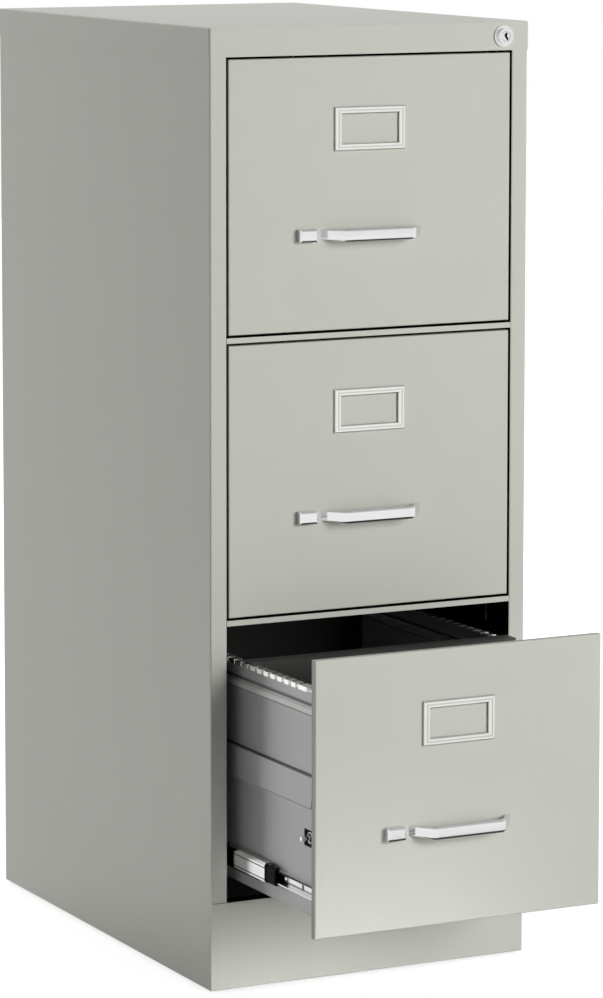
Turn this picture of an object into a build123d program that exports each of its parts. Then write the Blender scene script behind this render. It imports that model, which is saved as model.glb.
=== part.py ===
from build123d import *
import os

os.makedirs("parts", exist_ok=True)

# A vertical filing cabinet with three drawers. X runs along the front, Y from front to back, Z up.
# The origin is on the floor, under the centre of the cabinet body. All sizes are in millimetres.

# Body
cabinet_width = 381.0       # across the side panels
cabinet_depth = 559.0       # from the face of the stiles to the back edge of the side panels
foot_height = 3.0           # the glides hold the body this far off the floor
sheet = 0.8                 # panels, cap, rails and drawers
plate = 1.2                 # uprights, slides and brackets
bend = 1.4                  # centreline radius of a fold in sheet
round_sides = 16            # flats that stand for the round of feet and latch pins
kick_height = 94.7
kick_flange = 18.2
stile_width = 19.1
stile_return = 12.0
back_return = 15.0
base_flange = 18.0
base_setback = 26.0         # the side panels' base flanges start this far behind the face
rail_height = 5.8
rail_depth = 13.0
cap_height = 31.0
cap_clearance = 0.2         # the cap slips over the body
cap_corner = 2.4
cap_edge = 1.2
upright_width = 30.0
upright_depth = 20.7        # the uprights' webs stand this far off the side panels
upright_front = 14.0
upright_rear = 470.0
upright_start = 40.0
upright_top_gap = 12.0      # below the head rail
head_depth = 20.0

# Drawer fronts and bodies
drawer_count = 3
drawer_height = 290.3
face_gap = 2.6              # between a drawer front and a rail
side_gap = 2.3              # between a drawer front and a stile
bottom_gap = 5.8            # between the kick plate and the lowest front
pan_depth = 8.0
pan_edge = 1.5
pan_lip = 24.0
pulled_out = 200.0          # the lowest drawer stands open by this much
body_length = 507.0         # drawer sides, behind the pan
wall_inset = 34.4           # drawer side, from the cabinet's outer face
body_lift = 15.3            # underside of the drawer body over the lower edge of the front
side_drop = 34.8            # top of the drawer side under the top edge of the front
side_flange = 14.0
tooth_pitch = 16.0
tooth_gap = 6.0
tooth_depth = 5.0
tooth_start = 30.0          # the toothed rail starts this far behind the pan
rail_out = 3.9              # toothed rail outwards of the wall
rail_in = 6.3               # toothed rail inwards of the wall
bead_drop = 24.5            # centre of the pressed bead under the top of the side
bead_height = 7.0
bead_slope = 1.2            # run-out of the bead, above and below its edges
stand_off = 3.4             # bead and band stand this far off the wall
band_height = 34.0
band_low = 129.0
band_slant = 5.6
band_start = 19.6           # front end of the band, behind the pan
back_drop = 15.0
floor_rib = 3.0
floor_rib_width = 14.0
floor_rib_share = 0.25      # the ribs, from the middle, as a share of the floor's width
floor_play = 0.4            # between the floor's long edges and the walls

# Front hardware
hardware_z = 102.5          # handle and thumb latch over the lower edge of the front
handle_length = 120.0
handle_grip = 81.0
handle_reach = 24.0
handle_height = 13.8
handle_thick = 5.0
handle_bevel = 1.7
handle_foot = 8.2           # height of the legs at the front
handle_flare = 8.0          # the legs reach the grip's height over this length
handle_run_out = 0.8        # past the handle's length, where the legs' lines end behind the front
button_x = -78.5
button_width = 21.4
button_height = 13.8
button_reach = 9.6
button_travel = 7.0
button_neck = 8.0
button_bevel = 1.2
slide_clearance = 0.3
label_x = -2.5
label_z = 214.2
label_width = 84.0
label_height = 46.5
label_thick = 4.0
label_border = 7.5
label_pocket = 1.2
label_bevel = 1.0
groove = 1.5                # groove round the face of the label holder

# Latch inside the drawer front
latch_strip = 1.5
latch_strip_height = 10.0
latch_arm_inset = 50.0      # arm, from the cabinet's outer face
latch_arm_length = 45.0
latch_pin = 5.0
latch_pin_y = 41.0
latch_pin_z = 96.5
latch_pin_tip = 26.0        # end of the pin, from the cabinet's outer face
latch_window = 18.0
latch_hole = 10.0
latch_dish = 2.0
arm_gap = 1.0               # round the arm, in the window of the upstand
catch_ramp = 8.0
catch_height = 20.0
catch_gap = 0.5             # between the catch and the pin, both ways

# Telescopic slides
slide_z = 43.0              # centre of the slides over the lower edge of the front
slide_length = 500.0
outer_start = 21.0          # front end of the cabinet member, behind the face
outer_height = 32.0
outer_width = 12.2
middle_start = 20.0         # front end of the middle member with the drawer shut
middle_height = 22.6
middle_width = 10.0
inner_start = 10.0
inner_height = 15.0
inner_width = 7.4
cage_start = 50.0           # front end of the ball cage with the drawer shut
cage_length = 110.0
cage_share = 0.75           # the cage travels this share of the drawer's way
cage_thick = 1.5
cage_gap = 0.3
slide_play = 0.5            # between the cabinet member's web and the middle member
lip_width = 1.6             # lips of the slide members, across
lip_rise = 2.6              # lips of the cabinet member, up and down
small_lip = 0.9             # lips of the other members, up and down
web_corner = 2.2            # sloping corners of the middle member and the cage
lance_y = 40.0              # lanced slot behind the front end of the drawer member
lance_width = 5.0

# Follower plate
follower_y = 164.0
follower_height = 149.5
follower_flange = 10.0
follower_neck = 37.0        # part of the plate between the rails, down from its top
follower_lift = 0.3
follower_play = 0.8

# Lock
lock_inset = 30.8           # centre, from the cabinet's right face
lock_drop = 15.8            # centre, under the top of the cap
lock_bezel = 23.0
lock_bezel_thick = 2.2
lock_barrel = 20.0
key_width = 1.5
key_height = 7.3
key_depth = 12.5
ward_width = 2.3            # wider part of the keyway, beside its middle line
ward_height = 2.4
ward_rise = 1.5             # centre of that part over the plug's axis
plunger_diameter = 17.0
plunger_reach = 6.3
plunger_travel = 5.0
slot_drop = 5.1             # upper end of the slanting slot under the plunger's axis
plug_diameter = 11.0
running_clearance = 0.05
housing_length = 19.0
bar_drop = 8.0
bar_y = 52.0
bar_inset = 6.3
bar_thick = 2.7
bar_width = 14.0
bar_pin = 4.0
cam_thick = 3.0             # plate at the plunger's tail
cam_rise = 4.2              # the plate's arm, over and under the plunger's axis
cam_margin = 8.0            # the plate's edges, from the slot's ends
cam_gap = 1.0               # the bar's pin stands out of the plate by this much
hook_reach = 28.0
hook_height = 16.0
hook_thick = 2.0
lug_z = 190.0
lug_height = 15.0
lug_gap = 1.5
lug_reach = 10.0
lug_thick = 2.5
guide_height = 24.0

# Feet
glide_inset = 26.0
glide_diameter = 30.0
glide_stem = 8.0
glide_stem_length = 24.0
gusset_leg = 64.0

half_width = cabinet_width / 2
face_y = -cabinet_depth / 2
back_y = cabinet_depth / 2
base_z = foot_height
pitch = drawer_height + 2 * face_gap + rail_height
cap_low = base_z + kick_height + bottom_gap + drawer_count * pitch - rail_height - face_gap
cap_top = cap_low + cap_height
opening_width = cabinet_width - 2 * stile_width
front_width = opening_width - 2 * side_gap
side_top = drawer_height - side_drop
web_inset = sheet + upright_depth
upright_height = cap_low - upright_top_gap - base_z - upright_start
lock_x = half_width - lock_inset
lock_z = cap_top - lock_drop
cap_face = face_y - cap_clearance - sheet
fold_inside = bend + sheet / 2      # pieces in a folded corner keep this far from its faces


def left(inset):
    return inset - half_width


def right(inset):
    return half_width - inset


def folded(points, thickness):
    """Section of a sheet with mitred folds, whose middle line runs through the points."""
    line = [Vector(*point) for point in points]
    across = [(end - start).normalized().rotate(Axis.Z, 90) for start, end in zip(line, line[1:])]
    pairs = zip([across[0], *across], [*across, across[-1]])
    mitres = [(before + after) * (thickness / 2 / (1 + before.dot(after))) for before, after in pairs]
    upper = [point + mitre for point, mitre in zip(line, mitres)]
    lower = [point - mitre for point, mitre in zip(line, mitres)]
    return Polygon(*upper, *reversed(lower), align=None)


# Side panels: a stile with its return at the front, a return at the back and a flange at the base.
with BuildPart() as side_panel_left:
    with BuildSketch(Plane.XY.offset(base_z)):
        with BuildLine():
            FilletPolyline(
                (left(stile_width - sheet / 2), face_y + stile_return),
                (left(stile_width - sheet / 2), face_y + sheet / 2),
                (left(sheet / 2), face_y + sheet / 2),
                (left(sheet / 2), back_y - sheet / 2),
                (left(back_return), back_y - sheet / 2),
                radius=bend,
            )
        trace(line_width=sheet)
    extrude(amount=cap_top - sheet - base_z)
    with BuildSketch(Plane.XY.offset(base_z)):
        with Locations((left(sheet + stile_width / 2), face_y + stile_return / 2)):
            Rectangle(stile_width, stile_return + 4 * sheet)
    extrude(amount=kick_height + sheet / 2, mode=Mode.SUBTRACT)
    with BuildSketch(Plane.XY.offset(base_z)):
        with Locations((left(sheet / 2), face_y)):
            Rectangle(sheet, stile_return, align=(Align.CENTER, Align.MIN))
    extrude(amount=kick_height + sheet / 2)
    with BuildSketch(Plane.XY.offset(base_z)):
        with Locations((left(sheet / 2), face_y + base_setback)):
            Rectangle(base_flange, cabinet_depth - 2 * base_setback, align=(Align.MIN, Align.MIN))
    extrude(amount=sheet)
side_panel_left.part.label = "side_panel_left"
export_step(side_panel_left.part, "parts/side_panel_left.step")

with BuildPart() as side_panel_right:
    mirror(side_panel_left.part, about=Plane.YZ)
side_panel_right.part.label = "side_panel_right"
export_step(side_panel_right.part, "parts/side_panel_right.step")

# Back panel: lies against the back returns, with flanges turned forwards at the base and the head.
back_face = back_y - sheet
with BuildPart() as back_panel:
    with BuildSketch(Plane.YZ.offset(left(fold_inside))):
        back_section = (
            (back_face - back_return, base_z + sheet + plate + sheet / 2),
            (back_face - sheet / 2, base_z + sheet + plate + sheet / 2),
            (back_face - sheet / 2, cap_low + cap_height / 2),
            (back_face - back_return, cap_low + cap_height / 2),
        )
        folded(back_section, sheet)
    extrude(amount=cabinet_width - 2 * fold_inside)
back_panel.part.label = "back_panel"
export_step(back_panel.part, "parts/back_panel.step")

# Top cap: a shallow pan turned over the head of the body, with a hole for the lock.
with BuildPart() as top_cap:
    with BuildSketch(Plane.XY.offset(cap_low)):
        Rectangle(
            cabinet_width + 2 * (cap_clearance + sheet),
            cabinet_depth + 2 * (cap_clearance + sheet),
        )
    extrude(amount=cap_height)
    fillet(top_cap.edges().filter_by(Axis.Z), radius=cap_corner)
    chamfer(top_cap.faces().sort_by(Axis.Z)[-1].edges(), length=cap_edge)
    with BuildSketch(Plane.XY.offset(cap_low)):
        RectangleRounded(
            cabinet_width + 2 * cap_clearance,
            cabinet_depth + 2 * cap_clearance,
            cap_corner - sheet,
        )
    extrude(amount=cap_height - sheet, mode=Mode.SUBTRACT)
    with BuildSketch(Plane.XZ.offset(-cap_face + sheet)):
        with Locations((lock_x, lock_z)):
            Circle(lock_barrel / 2 + cap_clearance)
    extrude(amount=-4 * sheet, mode=Mode.SUBTRACT)
top_cap.part.label = "top_cap"
export_step(top_cap.part, "parts/top_cap.step")

# Head rail: a channel behind the cap's front, between the returns of the stiles.
with BuildPart() as head_rail:
    with BuildSketch(Plane.YZ.offset(left(stile_width))):
        channel = (
            (face_y + head_depth, cap_low + 2 * sheet),
            (face_y + sheet / 2, cap_low + 2 * sheet),
            (face_y + sheet / 2, cap_top - 3 * sheet),
            (face_y + head_depth, cap_top - 3 * sheet),
        )
        folded(channel, sheet)
    extrude(amount=opening_width)
    with BuildSketch(Plane.XZ.offset(-face_y + sheet)):
        with Locations((lock_x, lock_z)):
            Circle(lock_barrel / 2 + cap_clearance)
    extrude(amount=-3 * sheet, mode=Mode.SUBTRACT)
head_rail.part.label = "head_rail"
export_step(head_rail.part, "parts/head_rail.step")

# Kick plate: full width, flush with the stiles, with side returns and flanges at top and base.
kick_width = cabinet_width - 2 * sheet
with BuildPart() as kick_plate:
    with BuildSketch(Plane.YZ.offset(-kick_width / 2)):
        with BuildLine():
            FilletPolyline(
                (face_y + kick_flange, base_z + kick_height - sheet / 2),
                (face_y + sheet / 2, base_z + kick_height - sheet / 2),
                (face_y + sheet / 2, base_z + sheet / 2),
                (face_y + kick_flange - sheet, base_z + sheet / 2),
                radius=bend,
            )
        trace(line_width=sheet)
    extrude(amount=kick_width)
    with BuildSketch(Plane.XY.offset(base_z)):
        with Locations((-kick_width / 2, face_y + bend), (kick_width / 2 - sheet, face_y + bend)):
            Rectangle(sheet, upright_front - bend, align=(Align.MIN, Align.MIN))
    extrude(amount=kick_height - sheet)
    # the top flange is notched round the stile returns and the uprights
    with BuildSketch(Plane.XY.offset(base_z + kick_height - 2 * sheet)):
        with Locations((-half_width, face_y + 2 * bend), (half_width, face_y + 2 * bend)):
            Rectangle(2 * web_inset + 2 * sheet, kick_flange, align=(Align.CENTER, Align.MIN))
    extrude(amount=3 * sheet, mode=Mode.SUBTRACT)
kick_plate.part.label = "kick_plate"
export_step(kick_plate.part, "parts/kick_plate.step")

# Cross rails: folded channels between the stiles, one under each of the upper drawers.
for level in range(1, drawer_count):
    rail_low = base_z + kick_height + bottom_gap + level * pitch - face_gap - rail_height
    with BuildPart() as cross_rail:
        with BuildSketch(Plane.YZ.offset(left(stile_width))):
            channel = (
                (face_y + rail_depth, rail_low + sheet / 2),
                (face_y + sheet / 2, rail_low + sheet / 2),
                (face_y + sheet / 2, rail_low + rail_height - sheet / 2),
                (face_y + rail_depth, rail_low + rail_height - sheet / 2),
            )
            folded(channel, sheet)
        extrude(amount=opening_width)
    rail_name = f"cross_rail_{level}"
    cross_rail.part.label = rail_name
    export_step(cross_rail.part, f"parts/{rail_name}.step")

# Uprights: channels on the side panels that carry the slides, one pair in front and one behind.
for upright_name, upright_y in (("front_uprights", upright_front), ("rear_uprights", upright_rear)):
    with BuildPart() as uprights:
        with BuildSketch(Plane.XY.offset(base_z + upright_start)):
            channel = (
                (left(sheet), face_y + upright_y + plate / 2),
                (left(web_inset - plate / 2), face_y + upright_y + plate / 2),
                (left(web_inset - plate / 2), face_y + upright_y + upright_width - plate / 2),
                (left(sheet), face_y + upright_y + upright_width - plate / 2),
            )
            folded(channel, plate)
        extrude(amount=upright_height)
        mirror(about=Plane.YZ)
    uprights.part.label = upright_name
    export_step(uprights.part, f"parts/{upright_name}.step")

# Corner gussets: triangular plates on the base flanges, with a hole for each glide.
glide_x = half_width - glide_inset
glide_y = cabinet_depth / 2 - glide_inset
with BuildPart() as corner_gussets:
    with BuildSketch(Plane.XY.offset(base_z + sheet)):
        with BuildLine():
            Polyline(
                (left(2 * sheet), face_y + fold_inside),
                (left(gusset_leg), face_y + fold_inside),
                (left(gusset_leg), face_y + glide_inset / 2),
                (left(glide_inset / 2), face_y + gusset_leg),
                (left(2 * sheet), face_y + gusset_leg),
                close=True,
            )
        make_face()
        with Locations((-glide_x, -glide_y)):
            RegularPolygon(glide_stem / 2 + cap_clearance, 6, mode=Mode.SUBTRACT)
    extrude(amount=plate)
    mirror(about=Plane.YZ)
    mirror(about=Plane.XZ)
corner_gussets.part.label = "corner_gussets"
export_step(corner_gussets.part, "parts/corner_gussets.step")

# Glides: a round foot on a six-sided stem through each gusset.
with BuildPart() as glides:
    with BuildSketch():
        with GridLocations(2 * glide_x, 2 * glide_y, 2, 2):
            RegularPolygon(glide_diameter / 2, round_sides)
    extrude(amount=foot_height)
    with BuildSketch(Plane.XY.offset(foot_height)):
        with GridLocations(2 * glide_x, 2 * glide_y, 2, 2):
            RegularPolygon(glide_stem / 2, 6)
    extrude(amount=glide_stem_length)
glides.part.label = "glides"
export_step(glides.part, "parts/glides.step")

# Lock housing: a bezel and a barrel through the cap and the head rail.
bore = plunger_diameter / 2 + running_clearance
with BuildPart() as lock_housing:
    with BuildSketch(Plane.XZ.offset(-cap_face)):
        with Locations((lock_x, lock_z)):
            Circle(lock_bezel / 2)
    extrude(amount=lock_bezel_thick)
    with BuildSketch(Plane.XZ.offset(-cap_face)):
        with Locations((lock_x, lock_z)):
            Circle(lock_barrel / 2)
    extrude(amount=-housing_length)
    with BuildSketch(Plane.XZ.offset(-cap_face + lock_bezel_thick)):
        with Locations((lock_x, lock_z)):
            Circle(bore)
    extrude(amount=-housing_length - lock_bezel_thick, mode=Mode.SUBTRACT)
lock_housing.part.label = "lock_housing"
export_step(lock_housing.part, "parts/lock_housing.step")

# Lock plunger: slides in the housing and carries a plate with a slanting slot at its tail.
plunger_face = cap_face - plunger_reach
plunger_tail = face_y + head_depth + 2 * plate
slot_y = face_y + bar_y + bar_width / 2
slot_z = lock_z - slot_drop
cam_inset = lock_inset - plunger_diameter / 2
with BuildPart() as lock_plunger:
    with BuildSketch(Plane.XZ.offset(-plunger_face)):
        with Locations((lock_x, lock_z)):
            Circle(plunger_diameter / 2)
    extrude(amount=plunger_face - plunger_tail)
    with BuildSketch(Plane.YZ.offset(right(cam_inset + cam_thick))):
        with BuildLine():
            Polyline(
                (plunger_tail - plate, lock_z + cam_rise),
                (slot_y + cam_margin, lock_z + cam_rise),
                (slot_y + cam_margin, slot_z - bar_drop),
                (slot_y, slot_z - bar_drop - cam_margin),
                (slot_y - plunger_travel - cam_margin, slot_z - bar_drop - cam_margin),
                (plunger_tail + plate, lock_z - cam_rise),
                (plunger_tail - plate, lock_z - cam_rise),
                close=True,
            )
        make_face()
        with BuildLine():
            slot_path = Line((slot_y, slot_z), (slot_y - plunger_travel, slot_z - bar_drop))
        with Locations(slot_path @ 0.5):
            SlotCenterToCenter(
                slot_path.length,
                bar_pin + 2 * slide_clearance,
                rotation=slot_path.tangent_angle_at(0),
                mode=Mode.SUBTRACT,
            )
    extrude(amount=cam_thick)
    with BuildSketch(Plane.XZ.offset(-plunger_face)):
        with Locations((lock_x, lock_z)):
            Circle(plug_diameter / 2 + running_clearance)
    extrude(amount=-housing_length, mode=Mode.SUBTRACT)
lock_plunger.part.label = "lock_plunger"
export_step(lock_plunger.part, "parts/lock_plunger.step")

# Key plug: turns in the plunger, with a keyway in its face.
with BuildPart() as lock_plug:
    with BuildSketch(Plane.XZ.offset(-plunger_face)):
        with Locations((lock_x, lock_z)):
            Circle(plug_diameter / 2)
    extrude(amount=-housing_length + cam_gap)
    with BuildSketch(Plane.XZ.offset(-plunger_face)):
        with Locations((lock_x, lock_z)):
            Rectangle(key_width, key_height)
        with Locations((lock_x - key_width / 2, lock_z + ward_rise)):
            Rectangle(ward_width, ward_height)
    extrude(amount=-key_depth, mode=Mode.SUBTRACT)
lock_plug.part.label = "lock_plug"
export_step(lock_plug.part, "parts/lock_plug.step")

# Lock bar: a flat bar beside the right front upright, with a hook over the lug of each drawer.
bar_low = base_z + kick_height + bottom_gap + lug_z
with BuildPart() as lock_bar:
    with BuildSketch(Plane.XY.offset(bar_low)):
        with Locations((right(bar_inset), face_y + bar_y)):
            Rectangle(bar_thick, bar_width, align=(Align.MAX, Align.MIN))
    extrude(amount=slot_z + cam_margin - bar_low)
with BuildPart() as bar_tabs:
    for level in range(drawer_count):
        hook_low = bar_low + level * pitch + lug_height + lug_gap
        with BuildSketch(Plane.XY.offset(hook_low)):
            with Locations((right(bar_inset + bar_thick), face_y + bar_y)):
                Rectangle(
                    hook_reach - bar_inset - bar_thick,
                    hook_thick,
                    align=(Align.MAX, Align.MIN),
                )
        extrude(amount=hook_height)
    with BuildSketch(Plane.YZ.offset(right(cam_inset + cam_thick + cam_gap))):
        with Locations((slot_y, slot_z)):
            Circle(bar_pin / 2)
    extrude(amount=cam_inset + cam_thick + cam_gap - bar_inset - bar_thick)
# the hooks and the pin are welded to the bar, face to face
lock_bar_group = Compound(label="lock_bar", children=[*lock_bar.solids(), *bar_tabs.solids()])
export_step(lock_bar_group, "parts/lock_bar.step")

# Bar guides: two small hats on the right side panel that the bar slides through.
guide_out = bar_inset + bar_thick + slide_clearance + plate / 2
guide_y = face_y + bar_y - slide_clearance - plate / 2
guide_run = bar_width + 2 * slide_clearance + plate
with BuildPart() as bar_guides:
    for guide_level in (1, drawer_count):
        with BuildSketch(Plane.XY.offset(base_z + kick_height + guide_level * pitch - side_drop)):
            hat = (
                (right(sheet + plate / 2), guide_y - bar_inset),
                (right(sheet + plate / 2), guide_y),
                (right(guide_out), guide_y),
                (right(guide_out), guide_y + guide_run),
                (right(sheet + plate / 2), guide_y + guide_run),
                (right(sheet + plate / 2), guide_y + guide_run + bar_inset),
            )
            folded(hat, plate)
        extrude(amount=guide_height)
bar_guides.part.label = "bar_guides"
export_step(bar_guides.part, "parts/bar_guides.step")

# Latch catches: a ramped nose on the left front upright for the latch pin of each drawer.
catch_back = latch_pin_y - latch_pin / 2 - catch_gap
with BuildPart() as latch_catches:
    for level in range(drawer_count):
        catch_low = base_z + kick_height + bottom_gap + level * pitch + latch_pin_z - catch_height / 2
        with BuildSketch(Plane.XY.offset(catch_low)):
            with BuildLine():
                Polyline(
                    (left(web_inset), face_y + upright_front + plate),
                    (left(web_inset + plate), face_y + upright_front + plate),
                    (left(web_inset + plate), face_y + catch_back - catch_ramp),
                    (left(latch_pin_tip - catch_gap), face_y + catch_back - plate),
                    (left(latch_pin_tip - catch_gap), face_y + catch_back),
                    (left(web_inset), face_y + catch_back),
                    close=True,
                )
            make_face()
        extrude(amount=catch_height)
latch_catches.part.label = "latch_catches"
export_step(latch_catches.part, "parts/latch_catches.step")

# Drawers, from the lowest upwards. The lowest stands open, the others are shut.
for level in range(drawer_count):
    drawer = f"drawer_{drawer_count - level}"
    front_y = face_y - (pulled_out if level == 0 else 0.0)
    low_z = base_z + kick_height + bottom_gap + level * pitch
    rear_y = front_y + pan_depth + body_length
    rail_z = low_z + side_top
    centre_z = low_z + slide_z
    latch_z = low_z + hardware_z
    pin_y = front_y + latch_pin_y
    pin_z = low_z + latch_pin_z

    # Front: a shallow pan with a lip turned in all round and a slot for the latch.
    with BuildPart() as front:
        with BuildSketch(Plane.XZ.offset(-front_y)):
            with Locations((0, low_z + drawer_height / 2)):
                Rectangle(front_width, drawer_height)
        extrude(amount=-pan_depth)
        fillet(front.faces().sort_by(Axis.Y)[0].edges(), radius=pan_edge)
        with BuildSketch(Plane.XZ.offset(-front_y - sheet)):
            with Locations((0, low_z + drawer_height / 2)):
                Rectangle(front_width - 2 * sheet, drawer_height - 2 * sheet)
        extrude(amount=-pan_depth, mode=Mode.SUBTRACT)
        with BuildSketch(Plane.XZ.offset(-front_y - pan_depth + sheet)):
            with Locations((0, low_z + drawer_height / 2)):
                Rectangle(front_width - sheet, drawer_height - sheet)
                Rectangle(front_width - 2 * pan_lip, drawer_height - pan_lip, mode=Mode.SUBTRACT)
        extrude(amount=-sheet)
        with BuildSketch(Plane.XZ.offset(-front_y)):
            with Locations((button_x + button_travel / 2, latch_z)):
                Rectangle(
                    button_neck + button_travel + 2 * slide_clearance,
                    button_neck + 2 * slide_clearance,
                )
        extrude(amount=-2 * sheet, mode=Mode.SUBTRACT)
    front.part.label = f"{drawer}_front"
    export_step(front.part, f"parts/{drawer}_front.step")

    # Side blank: a toothed rail on a wall with a base flange, a pressed bead and a lapped band.
    wall = left(wall_inset + sheet / 2)
    bead_z = rail_z - bead_drop
    band_z = low_z + band_low
    rail_mid = rail_z - sheet / 2
    rail_front = front_y + pan_depth + tooth_start
    rail_span = rear_y - rail_front
    with BuildPart() as blank:
        with BuildSketch(Plane.XZ.offset(-rail_front)):
            rail_profile = (
                (wall + rail_in, rail_mid),
                (wall - rail_out + sheet / 2, rail_mid),
                (wall - rail_out + sheet / 2, rail_z - tooth_depth),
            )
            folded(rail_profile, sheet)
        extrude(amount=-rail_span)
        teeth = int((rail_span - tooth_pitch) // tooth_pitch)
        with Locations((wall + (rail_in - rail_out) / 2, rail_front + rail_span / 2, rail_z)):
            with GridLocations(0, tooth_pitch, 1, teeth):
                Box(
                    rail_in + rail_out + 2 * sheet,
                    tooth_gap,
                    2 * tooth_depth + sheet,
                    mode=Mode.SUBTRACT,
                )
        with BuildSketch(Plane.XZ.offset(-front_y - pan_depth)):
            profile = (
                (left(wall_inset + side_flange), low_z + body_lift + sheet / 2),
                (wall, low_z + body_lift + sheet / 2),
                (wall, bead_z - bead_height / 2 - bead_slope),
                (wall - stand_off, bead_z - bead_height / 2 + bead_slope),
                (wall - stand_off, bead_z + bead_height / 2 - bead_slope),
                (wall, bead_z + bead_height / 2 + bead_slope),
                (wall, rail_z - sheet),
            )
            folded(profile, sheet)
        extrude(amount=-body_length)
        with BuildSketch(Plane.XZ.offset(-front_y - pan_depth)):
            band_profile = (
                (wall, band_z - stand_off / 2),
                (wall - stand_off, band_z + stand_off / 2),
                (wall - stand_off, band_z + band_height),
            )
            folded(band_profile, sheet)
        extrude(amount=-body_length)
        # the front end of the band is cut on the slant, clear of the front
        band_end = front_y + pan_depth + band_start
        with BuildSketch(Plane.YZ.offset(wall - stand_off - sheet)):
            with BuildLine():
                Polyline(
                    (front_y, band_z - stand_off),
                    (band_end + band_slant / 2, band_z - stand_off),
                    (band_end - band_slant, band_z + band_height + sheet),
                    (front_y, band_z + band_height + sheet),
                    close=True,
                )
            make_face()
        extrude(amount=stand_off + sheet / 2, mode=Mode.SUBTRACT)
        # flanges turned in at the front and at the back
        for flange_y in (front_y + pan_depth, rear_y - sheet):
            with BuildSketch(Plane.XZ.offset(-flange_y)):
                with Locations((left(wall_inset), low_z + body_lift)):
                    Rectangle(
                        side_flange,
                        side_top - body_lift - bead_drop,
                        align=(Align.MIN, Align.MIN),
                    )
            extrude(amount=-sheet)

    # Left side: a square dish with the hole that the latch pin passes through.
    dish_side = latch_window + 2 * sheet
    with BuildPart() as side_left:
        add(blank.part)
        with Locations((left(wall_inset), pin_y, pin_z)):
            Box(latch_dish + sheet, dish_side, dish_side, align=(Align.MIN, Align.CENTER, Align.CENTER))
            Box(
                latch_dish,
                latch_window,
                latch_window,
                align=(Align.MIN, Align.CENTER, Align.CENTER),
                mode=Mode.SUBTRACT,
            )
        with BuildSketch(Plane.YZ.offset(left(wall_inset))):
            with Locations((pin_y, pin_z)):
                RegularPolygon(latch_hole / 2, round_sides)
        extrude(amount=latch_dish + 2 * sheet, mode=Mode.SUBTRACT)
    side_left.part.label = f"{drawer}_side_left"
    export_step(side_left.part, f"parts/{drawer}_side_left.step")

    # Right side: the mirror image, with the lug that the lock bar's hook stops.
    lug_y = front_y + bar_y + hook_thick + lug_gap
    with BuildPart() as side_right:
        mirror(blank.part, about=Plane.YZ)
    with BuildPart() as lug:
        with BuildSketch(Plane.XY.offset(low_z + lug_z)):
            with BuildLine():
                Polyline(
                    (right(wall_inset), lug_y),
                    (right(wall_inset - lug_reach), lug_y),
                    (right(wall_inset - lug_reach), lug_y + lug_thick),
                    (right(wall_inset - plate), lug_y + lug_reach),
                    (right(wall_inset - plate), lug_y + 2 * lug_reach),
                    (right(wall_inset), lug_y + 2 * lug_reach),
                    close=True,
                )
            make_face()
        extrude(amount=lug_height)
    # the lug's bracket is riveted to the side, face to face
    side_right_group = Compound(
        label=f"{drawer}_side_right",
        children=[*side_right.solids(), *lug.solids()],
    )
    export_step(side_right_group, f"parts/{drawer}_side_right.step")

    # Floor: two pressed ribs run from front to back, and the front edge turns up behind the pan.
    inside = cabinet_width - 2 * (wall_inset + sheet)
    floor_z = low_z + body_lift + sheet + sheet / 2
    floor_front = front_y + pan_depth + sheet
    floor_length = rear_y - sheet - floor_front
    with BuildPart() as floor:
        with BuildSketch(Plane.XZ.offset(-floor_front)):
            ribs = []
            for rib_x in (-inside * floor_rib_share, inside * floor_rib_share):
                ribs += [
                    (rib_x - floor_rib_width, floor_z),
                    (rib_x - floor_rib_width / 2, floor_z + floor_rib),
                    (rib_x + floor_rib_width / 2, floor_z + floor_rib),
                    (rib_x + floor_rib_width, floor_z),
                ]
            edge_x = inside / 2 - floor_play
            folded([(-edge_x, floor_z), *ribs, (edge_x, floor_z)], sheet)
        extrude(amount=-floor_length)
        with BuildSketch(Plane.XZ.offset(-floor_front)):
            with Locations((0, floor_z)):
                Rectangle(inside, side_top - body_lift - bead_drop, align=(Align.CENTER, Align.MIN))
            # window for the latch arm and its travel
            with Locations((left(latch_arm_inset - arm_gap), pin_z)):
                Rectangle(
                    button_travel + latch_strip + 2 * arm_gap,
                    latch_strip_height + 2 * arm_gap,
                    align=(Align.MIN, Align.CENTER),
                    mode=Mode.SUBTRACT,
                )
        extrude(amount=-sheet)
    floor.part.label = f"{drawer}_floor"
    export_step(floor.part, f"parts/{drawer}_floor.step")

    # Back: stands on the floor against the rear flanges, with its top edge turned forwards.
    back_top = rail_z - back_drop
    with BuildPart() as back:
        with BuildSketch(Plane.YZ.offset(-inside / 2)):
            back_section = (
                (rear_y - sheet - sheet / 2, floor_z + sheet / 2 + floor_rib),
                (rear_y - sheet - sheet / 2, back_top - sheet / 2),
                (rear_y - side_flange, back_top - sheet / 2),
            )
            folded(back_section, sheet)
        extrude(amount=inside)
    back.part.label = f"{drawer}_back"
    export_step(back.part, f"parts/{drawer}_back.step")

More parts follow.
